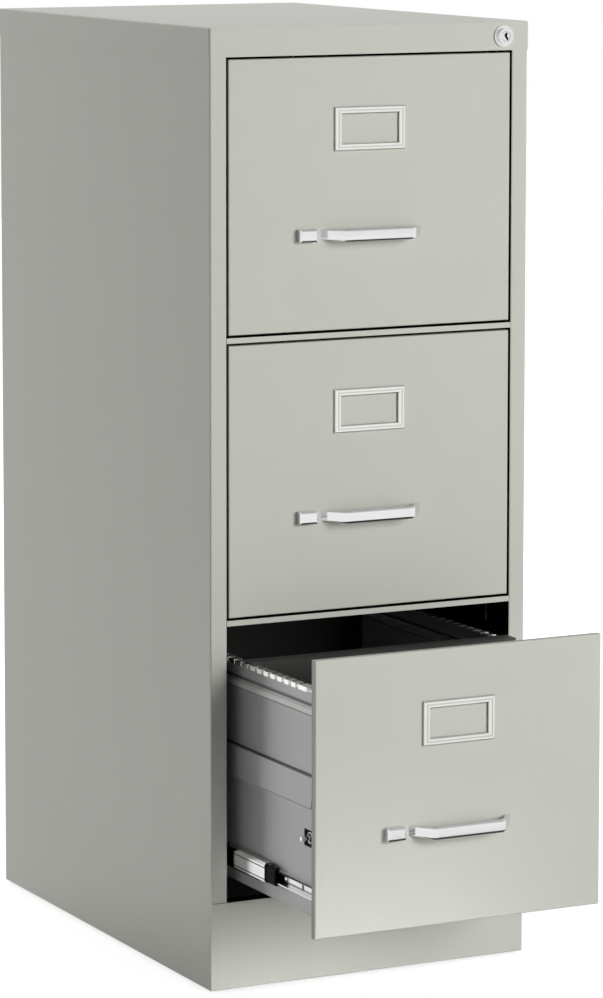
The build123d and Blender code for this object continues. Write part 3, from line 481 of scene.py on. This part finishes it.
class CabinetSizes(bpy.types.PropertyGroup):
    """The sizes of the small metalwork and of the zones of paint"""

    sheet: length_setting("Sheet", "Thickness of the body's sheet metal", 0.0008)
    # the painted shade inside the body fades in along the walls up to this depth
    interior_shade_fade: length_setting(
        "Primer fade", "Behind the stiles the primer fades in along the walls up to here", 0.06)
    # the painted shade of a label holder starts this deep under its face
    groove_depth: length_setting(
        "Groove depth", "From the face of a label holder to where its metal is duller", 0.0005)
    pan_lift: length_setting("Pan lift", "From the lowest edge of a drawer's floor to its pan", 0.003)
    hollow_shade_drop: length_setting(
        # the painted shade inside a drawer ends this far under the top of its side
        "Hollow drop", "From the top of a drawer's side to the dark paint inside it", 0.001)
    # the painted shade of a front's turned edges starts this far behind its face
    front_turn: length_setting(
        "Front turn", "From the face of a drawer front to the thin paint of its edges", 0.0022)
    ball: length_setting("Ball", "Diameter of the slides' balls", 0.0024)
    ball_inset: length_setting("Ball inset", "From the cage's outer face to the balls' centres", 0.0045)
    balls_in_row: IntProperty(name="Balls in a row", description="Balls along one edge of a cage", default=9)
    # where the painted shade lines of the middle members lie, and how wide they are
    shade_line_inset: length_setting(
        "Grease inset", "From a middle member's edge to its line of grease", 0.0045)
    shade_line_width: length_setting("Grease width", "Width of the lines of grease", 0.0013)
    tooth_depth: length_setting("Tooth depth", "Height of the teeth on the drawers' rails", 0.0047)
    bead_drop: length_setting(
        "Bead drop", "From the top of the drawer's side to the upper edge of its bead", 0.0198)
    bead_width: length_setting("Bead width", "Width of the bead with its run-outs", 0.0094)
    band_drop: length_setting(
        "Band drop", "From the top of the drawer's side to the upper edge of its band", 0.0925)
    # width of the painted shade along the seams
    seam: length_setting("Seam", "Width of the dirt in the seams", 0.002)
    dish_width: length_setting("Dish width", "Width of the square dish round the latch pin", 0.018)
    dish_depth: length_setting("Dish depth", "The dish lies this far inside the drawer's wall", 0.0016)
    dish_reach: length_setting("Dish reach", "From the end of the pin to where the dish's dark ends", 0.03)
    pin_setback: length_setting(
        "Pin setback", "From the end of the latch's arm to the pin's middle", 0.004)
    pin_lift: length_setting(
        "Pin lift", "From the lower edge of the latch's arm to the pin's middle", 0.005)
    grommet_radius: length_setting("Grommet", "Radius of the bright ring round the latch's hole", 0.0055)
    grommet_bead: length_setting("Grommet bead", "Radius of the ring's bead", 0.0008)
    bar_thickness: length_setting("Bar thickness", "Thickness of the handle bar", 0.005)
    bar_bevel: length_setting("Bar bevel", "Width of the bevels along the handle's face", 0.0024)
    bar_bevel_depth: length_setting(
        "Bar bevel depth", "The bevels of handles and thumb buttons fall back by this much", 0.0013)
    bar_bend: length_setting("Bar bend", "Radius of the handle's bends", 0.007)
    bar_flare: length_setting("Bar flare", "Past its grip the bar slims down over this length", 0.016)
    grip_length: length_setting("Grip length", "Between the corners of the handle's grip", 0.081)
    foot_height: length_setting("Foot height", "Height of the handle's legs at the drawer front", 0.0112)
    foot_inset: length_setting("Foot inset", "From the handle's end to the middle of its foot", 0.0032)
    button_bevel: length_setting(
        "Button bevel", "Width of the bevels round the thumb button's face", 0.0021)
    button_neck: length_setting("Button neck", "Width of the neck behind the thumb button", 0.008)
    button_neck_length: length_setting(
        "Button neck length", "Length of the neck behind the thumb button", 0.0014)
    plug_diameter: length_setting("Plug", "Diameter of the lock's key plug", 0.011)
    plug_edge: length_setting("Plug edge", "Bevel round the key plug's face", 0.0005)
    keyway_depth: length_setting("Keyway depth", "Depth of the keyway in the plug", 0.012)
    rivet: length_setting("Rivet", "Diameter of the rivet heads in the slides", 0.0056)
    rivet_stand: length_setting(
        "Rivet stand", "From the drawer's wall to the middle of the rivet heads", 0.002)


class CabinetStudio(bpy.types.PropertyGroup):
    """The camera, the lamps and the glow of the floor"""

    camera_place: FloatVectorProperty(
        name="Camera", description="Where the camera stands", default=(-2.1447, -4.3253, 1.2332),
        size=3, subtype="XYZ", unit="LENGTH")
    camera_pitch: FloatProperty(
        name="Pitch", description="The camera looks down by this angle",
        default=math.radians(6.323), unit="ROTATION")
    camera_yaw: FloatProperty(
        name="Yaw", description="The camera is turned to the right by this angle",
        default=math.radians(26.599), unit="ROTATION")
    lens: FloatProperty(name="Lens", description="Focal length", default=155.56, unit="CAMERA")
    shift_x: FloatProperty(
        name="Shift across", description="Lens shift to the right, as a share of the picture's longer side",
        default=0.03)
    shift_y: FloatProperty(
        name="Shift up", description="Lens shift upwards, as a share of the picture's longer side",
        default=-0.19)
    ambient: share_setting("Ambient", "Strength of the even light", 0.05)
    key: power_setting("Key", "Power of the front lamp", 145.0)
    low: power_setting("Low", "Power of the kick plate's lamp", 0.4)
    left: power_setting("Left", "Power of the lamp on the left", 430.0)
    right: power_setting("Right", "Power of the lamp on the right", 26.0)
    back: power_setting("Back", "Power of the lamp behind", 10.0)
    top: power_setting("Top", "Power of the lamp overhead", 37.0)
    room_shade: share_setting("Room shade", "Brightness of the room overhead, as metal mirrors it", 0.45)
    floor_shade: share_setting("Floor shade", "Share of the lamps' light that the floor gives back", 0.45)
    near_glow: share_setting(
        "Near glow", "Glow of the floor close to the cabinet, as the camera sees it", 0.8)
    near_mirror: share_setting(
        "Near mirror", "Glow of the floor close to the cabinet, as metal mirrors it", 0.05)
    mirror_centre: FloatVectorProperty(
        name="Mirror centre", description="Place on the floor from which its mirrored glow is measured",
        default=(0.15, -0.45, 0.0), size=3, subtype="XYZ", unit="LENGTH")
    mirror_start: length_setting(
        "Mirror start", "This far from the mirror centre the mirrored floor starts to glow", 0.45)
    mirror_end: length_setting(
        "Mirror end", "This far from the mirror centre the mirrored floor is white", 0.8)
    glow_start: length_setting(
        "Glow start", "This far from the cabinet the camera's floor starts to grow whiter", 0.7)
    glow_end: length_setting("Glow end", "This far from the cabinet the camera's floor is white", 2.4)


class CABINET_OT_body(bpy.types.Operator):
    """Paints the side panels, back, cap, rails and kick plate"""

    bl_idname = "cabinet.body"
    bl_label = "Cabinet Body"

    def execute(self, context):
        shell = ("side_panel_left", "side_panel_right", "back_panel", "top_cap", "kick_plate", "head_rail",
                 "cross_rail_1", "cross_rail_2")
        dress(shell, putty(context))
        return {"FINISHED"}


class CABINET_OT_carcass(bpy.types.Operator):
    """Finishes the uprights, gussets and glides"""

    bl_idname = "cabinet.carcass"
    bl_label = "Uprights and Glides"

    def execute(self, context):
        dress(("front_uprights", "rear_uprights", "corner_gussets"), putty(context))
        dress(("glides",), nylon(context))
        return {"FINISHED"}


class CABINET_OT_fronts(bpy.types.Operator):
    """Paints the drawer fronts, with painted shade on their turned edges"""

    bl_idname = "cabinet.fronts"
    bl_label = "Drawer Fronts"

    def execute(self, context):
        colours, sizes = context.scene.cabinet_colours, context.scene.cabinet_sizes
        for drawer in DRAWERS:
            low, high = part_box(f"{drawer}_front")
            turn, end = low.y + sizes.front_turn, high.y + sizes.sheet

            # painted shade in the gaps: the turned edges behind the face are darker and a little rougher
            def edges(tree, place):
                return between(tree, place.axis("Y"), turn, end, SOFT_EDGE)

            zone = (edges, tuple(colours.front_edge_shade), 0.1, 0.0)
            name = f"{drawer}_front_paint"
            paint = finish_named(name, powder_coat, tuple(colours.putty), PUTTY_ROUGHNESS, zone)
            dress([f"{drawer}_front"], paint)
        return {"FINISHED"}


class CABINET_OT_label_holders(bpy.types.Operator):
    """Finishes the label holders in bright satin metal, with painted shade in their groove and walls"""

    bl_idname = "cabinet.label_holders"
    bl_label = "Label Holders"

    def execute(self, context):
        colours, sizes = context.scene.cabinet_colours, context.scene.cabinet_sizes
        metal = tuple(colours.frame_metal)
        for drawer in DRAWERS:
            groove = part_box(f"{drawer}_label_holder")[0].y + sizes.groove_depth

            # painted shade on everything deeper than the face: groove, walls and bevels
            def recess(tree, place):
                return rising(tree, place.axis("Y"), groove - UNDER_FACE, groove + UNDER_FACE)

            zone = (recess, tuple(colours.frame_recess_shade), 0.05)
            satin = finish_named(f"{drawer}_satin_metal", chrome_plate, metal, 0.28, zone)
            dress([f"{drawer}_label_holder"], satin)
        return {"FINISHED"}


class CABINET_OT_drawers(bpy.types.Operator):
    """Paints the sides, floors and backs of the drawers"""

    bl_idname = "cabinet.drawers"
    bl_label = "Drawer Bodies"

    def execute(self, context):
        colours, sizes = context.scene.cabinet_colours, context.scene.cabinet_sizes
        for drawer in DRAWERS:
            pin_low, pin_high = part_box(f"{drawer}_latch_rod")
            pin = Vector((pin_low.x, pin_high.y - sizes.pin_setback, pin_low.z + sizes.pin_lift))
            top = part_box(f"{drawer}_side_left")[1].z
            zones = (*self.side_zones(colours, sizes, top), self.dish_zone(colours, sizes, pin))
            grey = finish_named(f"{drawer}_grey_paint", powder_coat, tuple(colours.drawer_grey), 0.4, *zones,
                                matte=self.hollow_shade_zone(colours, sizes, drawer, top))
            dress([f"{drawer}_{part}" for part in ("side_left", "side_right", "floor", "back")], grey)
            self.add_grommet(context, drawer, pin)
        return {"FINISHED"}

    def side_zones(self, colours, sizes, top):
        """Painted shade along the seams, and painted highlights on the bead and teeth, of drawer sides that
        reach up to the top.
        """
        bead_top = top - sizes.bead_drop
        bead_foot = bead_top - sizes.bead_width
        band, seam = top - sizes.band_drop, sizes.seam

        # painted shade: dark lines over and under the bead and over the band, a little rougher too
        def seams(tree, place):
            height = place.axis("Z")
            over_bead = rising(tree, height, bead_top, bead_top + seam * 0.5)
            over_bead = over_bead * rising(tree, height, bead_top + seam * 2.5, bead_top + seam * 0.8)
            under_bead = between(tree, height, bead_foot - seam * 0.4, bead_foot, EDGE * 2)
            over_band = between(tree, height, band, band + seam, seam * 0.3)
            return over_bead.larger(over_band).larger(under_bead)

        # painted highlight: the bead is lighter than the rest of the drawer side
        def bead(tree, place):
            return between(tree, place.axis("Z"), bead_foot, bead_top, SOFT_EDGE)

        # painted highlight on the teeth: near white, shinier and mostly metallic
        def teeth(tree, place):
            return rising(tree, place.axis("Z"), top - sizes.tooth_depth - EDGE * 4, top - sizes.tooth_depth)

        return (
            (seams, tuple(colours.seam), 0.2, 0.0), (bead, tuple(colours.bead), 0.0, 0.0),
            (teeth, tuple(colours.teeth_highlight), -0.15, 0.85),
        )

    def dish_zone(self, colours, sizes, pin):
        """The dark dish round the latch pin."""
        reach = sizes.dish_width / 2
        low = (pin.x, pin.y - reach, pin.z - reach)
        high = (pin.x + sizes.dish_reach, pin.y + reach, pin.z + reach)

        def dish(tree, place):
            return within(tree, place, low, high, EDGE * 2)

        return dish, tuple(colours.latch_dark), 0.2, 0.0

    def hollow_shade_zone(self, colours, sizes, drawer, top):
        """Painted shade: a dark matte coat over the inside of the drawer, up to just under the top of its
        sides.
        """
        floor_low, floor_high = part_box(f"{drawer}_floor")
        front = CAD_BOX[0].y
        low = (UNDER_FACE - floor_high.x, front, floor_low.z + sizes.pan_lift + EDGE)
        high = (floor_high.x - UNDER_FACE, floor_high.y - UNDER_FACE - EDGE, top - sizes.hollow_shade_drop)

        def hollow_shade(tree, place):
            return within(tree, place, low, high, EDGE)

        return hollow_shade, tuple(colours.hollow_shade)

    def add_grommet(self, context, drawer, pin):
        """A bright beaded ring round the hole of the latch pin."""
        sizes = context.scene.cabinet_sizes
        wall = -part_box(f"{drawer}_floor")[1].x

        def build(form):
            for step in range(GROMMET_STEPS):
                turn = math.tau * step / GROMMET_STEPS
                spoke = Vector((0.0, math.cos(turn), math.sin(turn)))
                centre = Vector((wall + sizes.dish_depth, pin.y, pin.z)) + spoke * sizes.grommet_radius
                for part in range(GROMMET_SIDES):
                    bow = math.tau * part / GROMMET_SIDES
                    lean = spoke * math.cos(bow) + Vector((-1.0, 0.0, 0.0)) * math.sin(bow)
                    form.verts.new(centre + lean * sizes.grommet_bead)
            form.verts.ensure_lookup_table()
            for step in range(GROMMET_STEPS):
                here, after = step * GROMMET_SIDES, (step + 1) % GROMMET_STEPS * GROMMET_SIDES
                for part in range(GROMMET_SIDES):
                    beside = (part + 1) % GROMMET_SIDES
                    corners = (here + part, after + part, after + beside, here + beside)
                    form.faces.new([form.verts[corner] for corner in corners])
            bmesh.ops.recalc_face_normals(form, faces=form.faces)

        add_piece(f"{drawer}_grommet", build, chrome(context), drawer, 80.0)


class CABINET_OT_followers(bpy.types.Operator):
    """Paints the follower plates, darkened with painted shade"""

    bl_idname = "cabinet.followers"
    bl_label = "Follower Plates"

    def execute(self, context):
        colours = context.scene.cabinet_colours
        dark = finish_named("dark_powder_coat", powder_coat, tuple(colours.follower_grey), 0.45)
        dress([f"{drawer}_follower" for drawer in DRAWERS], dark)
        return {"FINISHED"}


class CABINET_OT_slides(bpy.types.Operator):
    """Finishes the telescopic slides and adds their balls and rivets"""

    bl_idname = "cabinet.slides"
    bl_label = "Telescopic Slides"

    def execute(self, context):
        colours, sizes = context.scene.cabinet_colours, context.scene.cabinet_sizes
        for drawer in DRAWERS:
            dress([f"{drawer}_slide_{part}" for part in ("outer", "inner")], zinc(context))
            low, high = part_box(f"{drawer}_slide_middle")
            inset, width = sizes.shade_line_inset, sizes.shade_line_width

            # painted shade: two dark lines along the middle member's rolled corners
            def corners(tree, place):
                height = place.axis("Z")
                lower = between(tree, height, low.z + inset, low.z + inset + width, SOFT_EDGE)
                return lower.larger(between(tree, height, high.z - inset - width, high.z - inset, SOFT_EDGE))

            zone = (corners, tuple(colours.slide_shade_line))
            shade_lined = finish_named(f"{drawer}_greased_zinc", zinc_plate, tuple(colours.zinc), zone)
            dress([f"{drawer}_slide_middle"], shade_lined)
            dress([f"{drawer}_slide_cage"], nylon(context))
            self.add_balls(context, drawer, sizes)
            self.add_rivets(context, drawer, sizes)
        return {"FINISHED"}

    def add_balls(self, context, drawer, sizes):
        """Steel balls along both edges of the two cages."""
        low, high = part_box(f"{drawer}_slide_cage")
        across = high.x - sizes.ball_inset
        lift = (high.z - low.z) / 2 - sizes.ball * 0.3      # they stand out of the cage's edges a little
        middle = (low.z + high.z) / 2
        step = (high.y - low.y) / sizes.balls_in_row

        def build(form):
            for index in range(sizes.balls_in_row):
                along = low.y + step * (index + 0.5)
                for x in (-across, across):
                    for z in (middle - lift, middle + lift):
                        place = Matrix.Translation((x, along, z))
                        bmesh.ops.create_icosphere(form, subdivisions=2, radius=sizes.ball / 2, matrix=place)

        add_piece(f"{drawer}_balls", build, chrome(context), f"{drawer}_cage")

    def add_rivets(self, context, drawer, sizes):
        """Flat rivet heads where the slides hold the drawer."""
        low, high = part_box(f"{drawer}_slide_inner")
        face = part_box(f"{drawer}_floor")[1].x + sizes.rivet_stand
        radius = sizes.rivet / 2
        spots = [low.y + (high.y - low.y) * share for share in RIVET_SHARES]

        def build(form):
            for along in spots:
                for side in (-1.0, 1.0):
                    turn = Matrix.Rotation(math.radians(90.0) * side, 4, "Y")
                    squat = Matrix.Diagonal((1.0, 1.0, 0.4, 1.0))
                    place = Matrix.Translation((side * face, along, (low.z + high.z) / 2)) @ turn @ squat
                    bmesh.ops.create_uvsphere(form, u_segments=20, v_segments=10, radius=radius, matrix=place)

        add_piece(f"{drawer}_rivets", build, zinc(context), drawer)


class CABINET_OT_handles(bpy.types.Operator):
    """Makes the bent bar handles, with bevelled faces and legs that slim down"""

    bl_idname = "cabinet.handles"
    bl_label = "Handles"

    def execute(self, context):
        sizes = context.scene.cabinet_sizes
        for drawer in DRAWERS:
            low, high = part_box(f"{drawer}_handle")

            def build(form):
                half = self.half_of_bar(low, high, sizes)
                other = [[(-x, y, z) for x, y, z in ring] for ring in reversed(half)]
                skin(form, other + half)

            handle = add_piece(f"{drawer}_bar_handle", build, chrome(context), drawer, 50.0)
            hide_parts(f"{drawer}_handle")
            dress([f"{drawer}_handle"], chrome(context))
        return {"FINISHED"}

    def section(self, thick, tall, bevel, depth):
        """Outline of the bar as (outwards, up), round from the middle of its face."""
        ease = depth * 0.25
        upper = (
            (thick, tall - bevel - ease), (thick - ease * 0.5, tall - bevel + ease),
            (thick - depth + ease * 0.5, tall - ease), (thick - depth - ease, tall),
            (depth * 0.8 - thick, tall), (-thick, tall - depth * 0.8),
        )
        return (*upper, *((out, -up) for out, up in reversed(upper)))

    def half_of_bar(self, low, high, sizes):
        """Rings of points from the middle of the grip round the bend to the right foot."""
        thick, tall = sizes.bar_thickness / 2, (high.z - low.z) / 2
        middle = (low.z + high.z) / 2
        corner = Vector((sizes.grip_length / 2, low.y + thick))
        foot = Vector((high.x - sizes.foot_inset, high.y))
        leg = foot - corner
        turn = math.atan2(leg.y, leg.x)
        set_back = sizes.bar_bend * math.tan(turn / 2)
        centre = corner + Vector((-set_back, sizes.bar_bend))
        places = []
        for step in range(BEND_STEPS + 1):
            angle = turn * step / BEND_STEPS
            out = Vector((math.sin(angle), -math.cos(angle)))
            places.append((centre + out * sizes.bar_bend, out))
        start = places[-1][0]
        places += [(start.lerp(foot, share), out) for share in LEG_SHARES]
        rings = []
        for place, out in places:
            slim = min(1.0, max(0.0, (place.x - corner.x + set_back) / sizes.bar_flare))
            height = tall + (sizes.foot_height / 2 - tall) * slim * slim * (3 - 2 * slim)
            kept = 1.0 - slim * LEG_SLIM
            outline = self.section(thick, height, sizes.bar_bevel * kept, sizes.bar_bevel_depth * kept)
            rings.append([(*(place + out * across), middle + up) for across, up in outline])
        rings.append([(foot.x + across / out.x, foot.y, middle + up) for across, up in outline])
        return rings


class CABINET_OT_latches(bpy.types.Operator):
    """Finishes the thumb buttons, latch rods and catches"""

    bl_idname = "cabinet.latches"
    bl_label = "Latches"

    def execute(self, context):
        for drawer in DRAWERS:
            dress([f"{drawer}_latch_button"], chrome(context))
            self.add_button(context, drawer)
        dress([f"{drawer}_latch_rod" for drawer in DRAWERS], zinc(context))
        dress(("latch_catches",), zinc(context))
        return {"FINISHED"}

    def add_button(self, context, drawer):
        """A square thumb button with a bevelled face on a short neck."""
        sizes = context.scene.cabinet_sizes
        low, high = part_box(f"{drawer}_latch_button")
        centre = (low + high) / 2
        wide, tall = high.x - low.x, high.z - low.z
        bevel, depth = sizes.button_bevel, sizes.bar_bevel_depth
        neck = sizes.button_neck
        back = high.y - sizes.button_neck_length
        # place along Y, width, height and corner radius, from the drawer's front outwards
        stages = (
            (high.y, neck, neck, 0.0005), (back, neck, neck, 0.0005), (back, wide, tall, 0.0009),
            (low.y + depth, wide, tall, 0.0009),
            (low.y + depth * 0.15, wide - bevel * 1.7, tall - bevel * 1.7, 0.0008),
            (low.y, wide - bevel * 2.2, tall - bevel * 2.2, 0.0007),
        )

        def build(form):
            rings = []
            for y, width, height, radius in stages:
                outline = rounded_rectangle(width, height, radius)
                rings.append([(centre.x + across, y, centre.z + up) for across, up in outline])
            skin(form, rings)

        body = f"{drawer}_latch"
        button = add_piece(f"{drawer}_thumb_button", build, chrome(context), body, 38.0)
        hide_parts(f"{drawer}_latch_button")


class CABINET_OT_lock(bpy.types.Operator):
    """Finishes the lock, its bar and the bar's guides"""

    bl_idname = "cabinet.lock"
    bl_label = "Lock"

    def execute(self, context):
        dress(("lock_housing", "lock_plunger", "lock_plug"), chrome(context))
        dress(("lock_bar", "bar_guides"), zinc(context))
        self.add_plug(context)
        return {"FINISHED"}

    def add_plug(self, context):
        """The round key plug, with a keyway sunk into its face."""
        sizes = context.scene.cabinet_sizes
        low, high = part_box("lock_plug")
        centre = (low + high) / 2
        radius, edge = sizes.plug_diameter / 2, sizes.plug_edge

        def ring(y, size):
            turns = [math.tau * step / PLUG_STEPS for step in range(PLUG_STEPS)]
            return [(centre.x + math.cos(turn) * size, y, centre.z + math.sin(turn) * size) for turn in turns]

        def build(form):
            slot = [(centre.x + across / 1000, low.y, centre.z + up / 1000) for across, up in KEYWAY]
            pierced(form, ring(low.y, radius - edge), slot)
            mouth, bottom = [[form.verts.new((x, y + down, z)) for x, y, z in slot]
                             for down in (0.0, sizes.keyway_depth)]
            sides = [(mouth[index - 1], mouth[index], bottom[index], bottom[index - 1])
                     for index in range(len(slot))]
            for corners in (*sides, bottom):
                form.faces.new(corners).material_index = 1
            rings = [ring(low.y, radius - edge), ring(low.y + edge, radius), ring(high.y, radius)]
            loops = [[form.verts.new(point) for point in loop] for loop in rings]
            for first, second in zip(loops, loops[1:]):
                for index in range(PLUG_STEPS):
                    form.faces.new((first[index - 1], first[index], second[index], second[index - 1]))
            form.faces.new(loops[-1])
            bmesh.ops.remove_doubles(form, verts=form.verts, dist=1e-6)
            bmesh.ops.recalc_face_normals(form, faces=form.faces)

        plug = add_piece("key_plug", build, chrome(context), "lock_plug")
        shadow = tuple(context.scene.cabinet_colours.keyway)
        plug.data.materials.append(finish_named("keyway_shadow", moulded, shadow, 0.7))
        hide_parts("lock_plug")


class CABINET_OT_studio(bpy.types.Operator):
    """Sets the floor, lamps, world and camera round the cabinet"""

    bl_idname = "cabinet.studio"
    bl_label = "Studio"

    def execute(self, context):
        studio = context.scene.cabinet_studio
        self.lay_floor(context, studio)
        self.light_world(context, studio)
        centre = (CAD_BOX[0] + CAD_BOX[1]) / 2
        for name, (place, aim, width, beam) in LAMPS.items():
            ahead = Vector(aim or centre) - Vector(place)
            self.add_lamp(context, f"{name}_lamp", place, ahead, width, beam, getattr(studio, name))
        self.set_camera(context, studio)
        context.scene.view_settings.view_transform = "Standard"
        return {"FINISHED"}

    def lay_floor(self, context, studio):
        """A pale floor that glows white far off, and stays black to metal close to the cabinet."""
        mesh = bpy.data.meshes.new("floor")
        form = bmesh.new()
        bmesh.ops.create_circle(form, cap_ends=True, segments=96, radius=9.0)
        form.to_mesh(mesh)
        form.free()
        floor = bpy.data.objects.new("floor", mesh)
        context.scene.collection.objects.link(floor)
        white = Finish("floor_white", Roughness=0.6)
        seen = ray(white.tree, "Camera").larger(ray(white.tree, "Transmission"))
        mirrored = ray(white.tree, "Glossy")
        black, glow = (0.0, 0.0, 0.0, 1.0), (1.0, 1.0, 1.0, 1.0)
        white.feed("Base Color", mirrored.blend((*[studio.floor_shade] * 3, 1.0), black))
        away = white.place.length()
        spread = rising(white.tree, away, studio.glow_start, studio.glow_end)
        strength = seen * (studio.near_glow + spread * (1.0 - studio.near_glow))
        before = white.place.shifted([-part for part in studio.mirror_centre]).length()
        spread = rising(white.tree, before, studio.mirror_start, studio.mirror_end)
        strength = strength + mirrored * (studio.near_mirror + spread * (1.0 - studio.near_mirror))
        strength = strength * self.outside(white.tree, white.place)
        white.feed("Emission Color", strength.blend(black, glow))
        white.shader.inputs["Emission Strength"].default_value = 1.0
        mesh.materials.append(white.material)

    def outside(self, tree, place):
        """A mask that is 0 under the cabinet, apart from its edges, and 1 away from it."""
        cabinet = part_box("top_cap")[1]
        across = place.scaled((1.0 / cabinet.x, 0.0, 0.0)).length()
        along = place.scaled((0.0, 1.0 / cabinet.y, 0.0)).length()
        return rising(tree, across.larger(along), *UNDER_SHARES)

    def light_world(self, context, studio):
        """A white room for the camera and for mirrors, and a little even light."""
        world = bpy.data.worlds.new("studio_world")
        context.scene.world = world
        world.use_nodes = True
        tree = world.node_tree
        camera = ray(tree, "Camera")
        seen = camera.larger(ray(tree, "Glossy")).larger(ray(tree, "Transmission"))
        background = tree.nodes["Background"]
        background.inputs["Color"].default_value = (1.0, 1.0, 1.0, 1.0)
        direction = Wire.add(tree, "ShaderNodeTexCoord", {}, {}, "Generated")
        room = 1.0 - rising(tree, direction.axis("Z"), *ROOM_HEIGHTS) * (1.0 - studio.room_shade)
        strength = studio.ambient + seen * (room - studio.ambient)
        tree.links.new((strength + camera * (1.0 - strength)).socket, background.inputs["Strength"])

    def add_lamp(self, context, name, place, ahead, width, beam, power):
        """A round soft lamp that neither the camera nor metal sees."""
        lamp = bpy.data.lights.new(name, "AREA")
        lamp.shape = "DISK"
        lamp.size = width
        lamp.spread = math.radians(beam)
        lamp.energy = power
        holder = bpy.data.objects.new(name, lamp)
        holder.location = place
        holder.rotation_euler = ahead.to_track_quat("-Z", "Y").to_euler()
        holder.visible_camera = False
        holder.visible_glossy = False
        context.scene.collection.objects.link(holder)

    def set_camera(self, context, studio):
        """The camera of the photograph."""
        view = bpy.data.cameras.new("camera")
        view.sensor_width = 36.0
        view.lens = studio.lens
        view.shift_x = studio.shift_x
        view.shift_y = studio.shift_y
        view.clip_end = 100.0
        holder = bpy.data.objects.new("camera", view)
        holder.location = studio.camera_place
        holder.rotation_euler = (math.radians(90.0) - studio.camera_pitch, 0.0, -studio.camera_yaw)
        context.scene.collection.objects.link(holder)
        context.scene.camera = holder


OPERATORS = (
    CABINET_OT_body, CABINET_OT_carcass, CABINET_OT_fronts, CABINET_OT_label_holders, CABINET_OT_drawers,
    CABINET_OT_followers, CABINET_OT_slides, CABINET_OT_handles, CABINET_OT_latches, CABINET_OT_lock,
    CABINET_OT_studio,
)


class CABINET_PT_build(bpy.types.Panel):
    """Lists the cabinet's groups and their colours and sizes"""

    bl_label = "Filing Cabinet"
    bl_idname = "CABINET_PT_build"
    bl_space_type = "VIEW_3D"
    bl_region_type = "UI"
    bl_category = "Cabinet"

    def draw(self, context):
        column = self.layout.column(align=True)
        for operator in OPERATORS:
            column.operator(operator.bl_idname)
        for group_name in GROUPS:
            group = getattr(context.scene, group_name)
            box = self.layout.box()
            for name in group.bl_rna.properties.keys():
                if name not in ("name", "rna_type"):
                    box.prop(group, name)


GROUPS = {
    "cabinet_colours": CabinetColours,
    "cabinet_sizes": CabinetSizes,
    "cabinet_studio": CabinetStudio,
}


def register():
    for group in GROUPS.values():
        bpy.utils.register_class(group)
    for name, group in GROUPS.items():
        setattr(bpy.types.Scene, name, PointerProperty(type=group))
    for operator in OPERATORS:
        bpy.utils.register_class(operator)
    bpy.utils.register_class(CABINET_PT_build)


def unregister():
    bpy.utils.unregister_class(CABINET_PT_build)
    for operator in reversed(OPERATORS):
        bpy.utils.unregister_class(operator)
    for name, group in GROUPS.items():
        delattr(bpy.types.Scene, name)
        bpy.utils.unregister_class(group)


def main():
    register()
    bpy.ops.cabinet.body()
    bpy.ops.cabinet.carcass()
    bpy.ops.cabinet.fronts()
    bpy.ops.cabinet.label_holders()
    bpy.ops.cabinet.drawers()
    bpy.ops.cabinet.followers()
    bpy.ops.cabinet.slides()
    bpy.ops.cabinet.handles()
    bpy.ops.cabinet.latches()
    bpy.ops.cabinet.lock()
    bpy.ops.cabinet.studio()


if __name__ == "__main__":
    main()
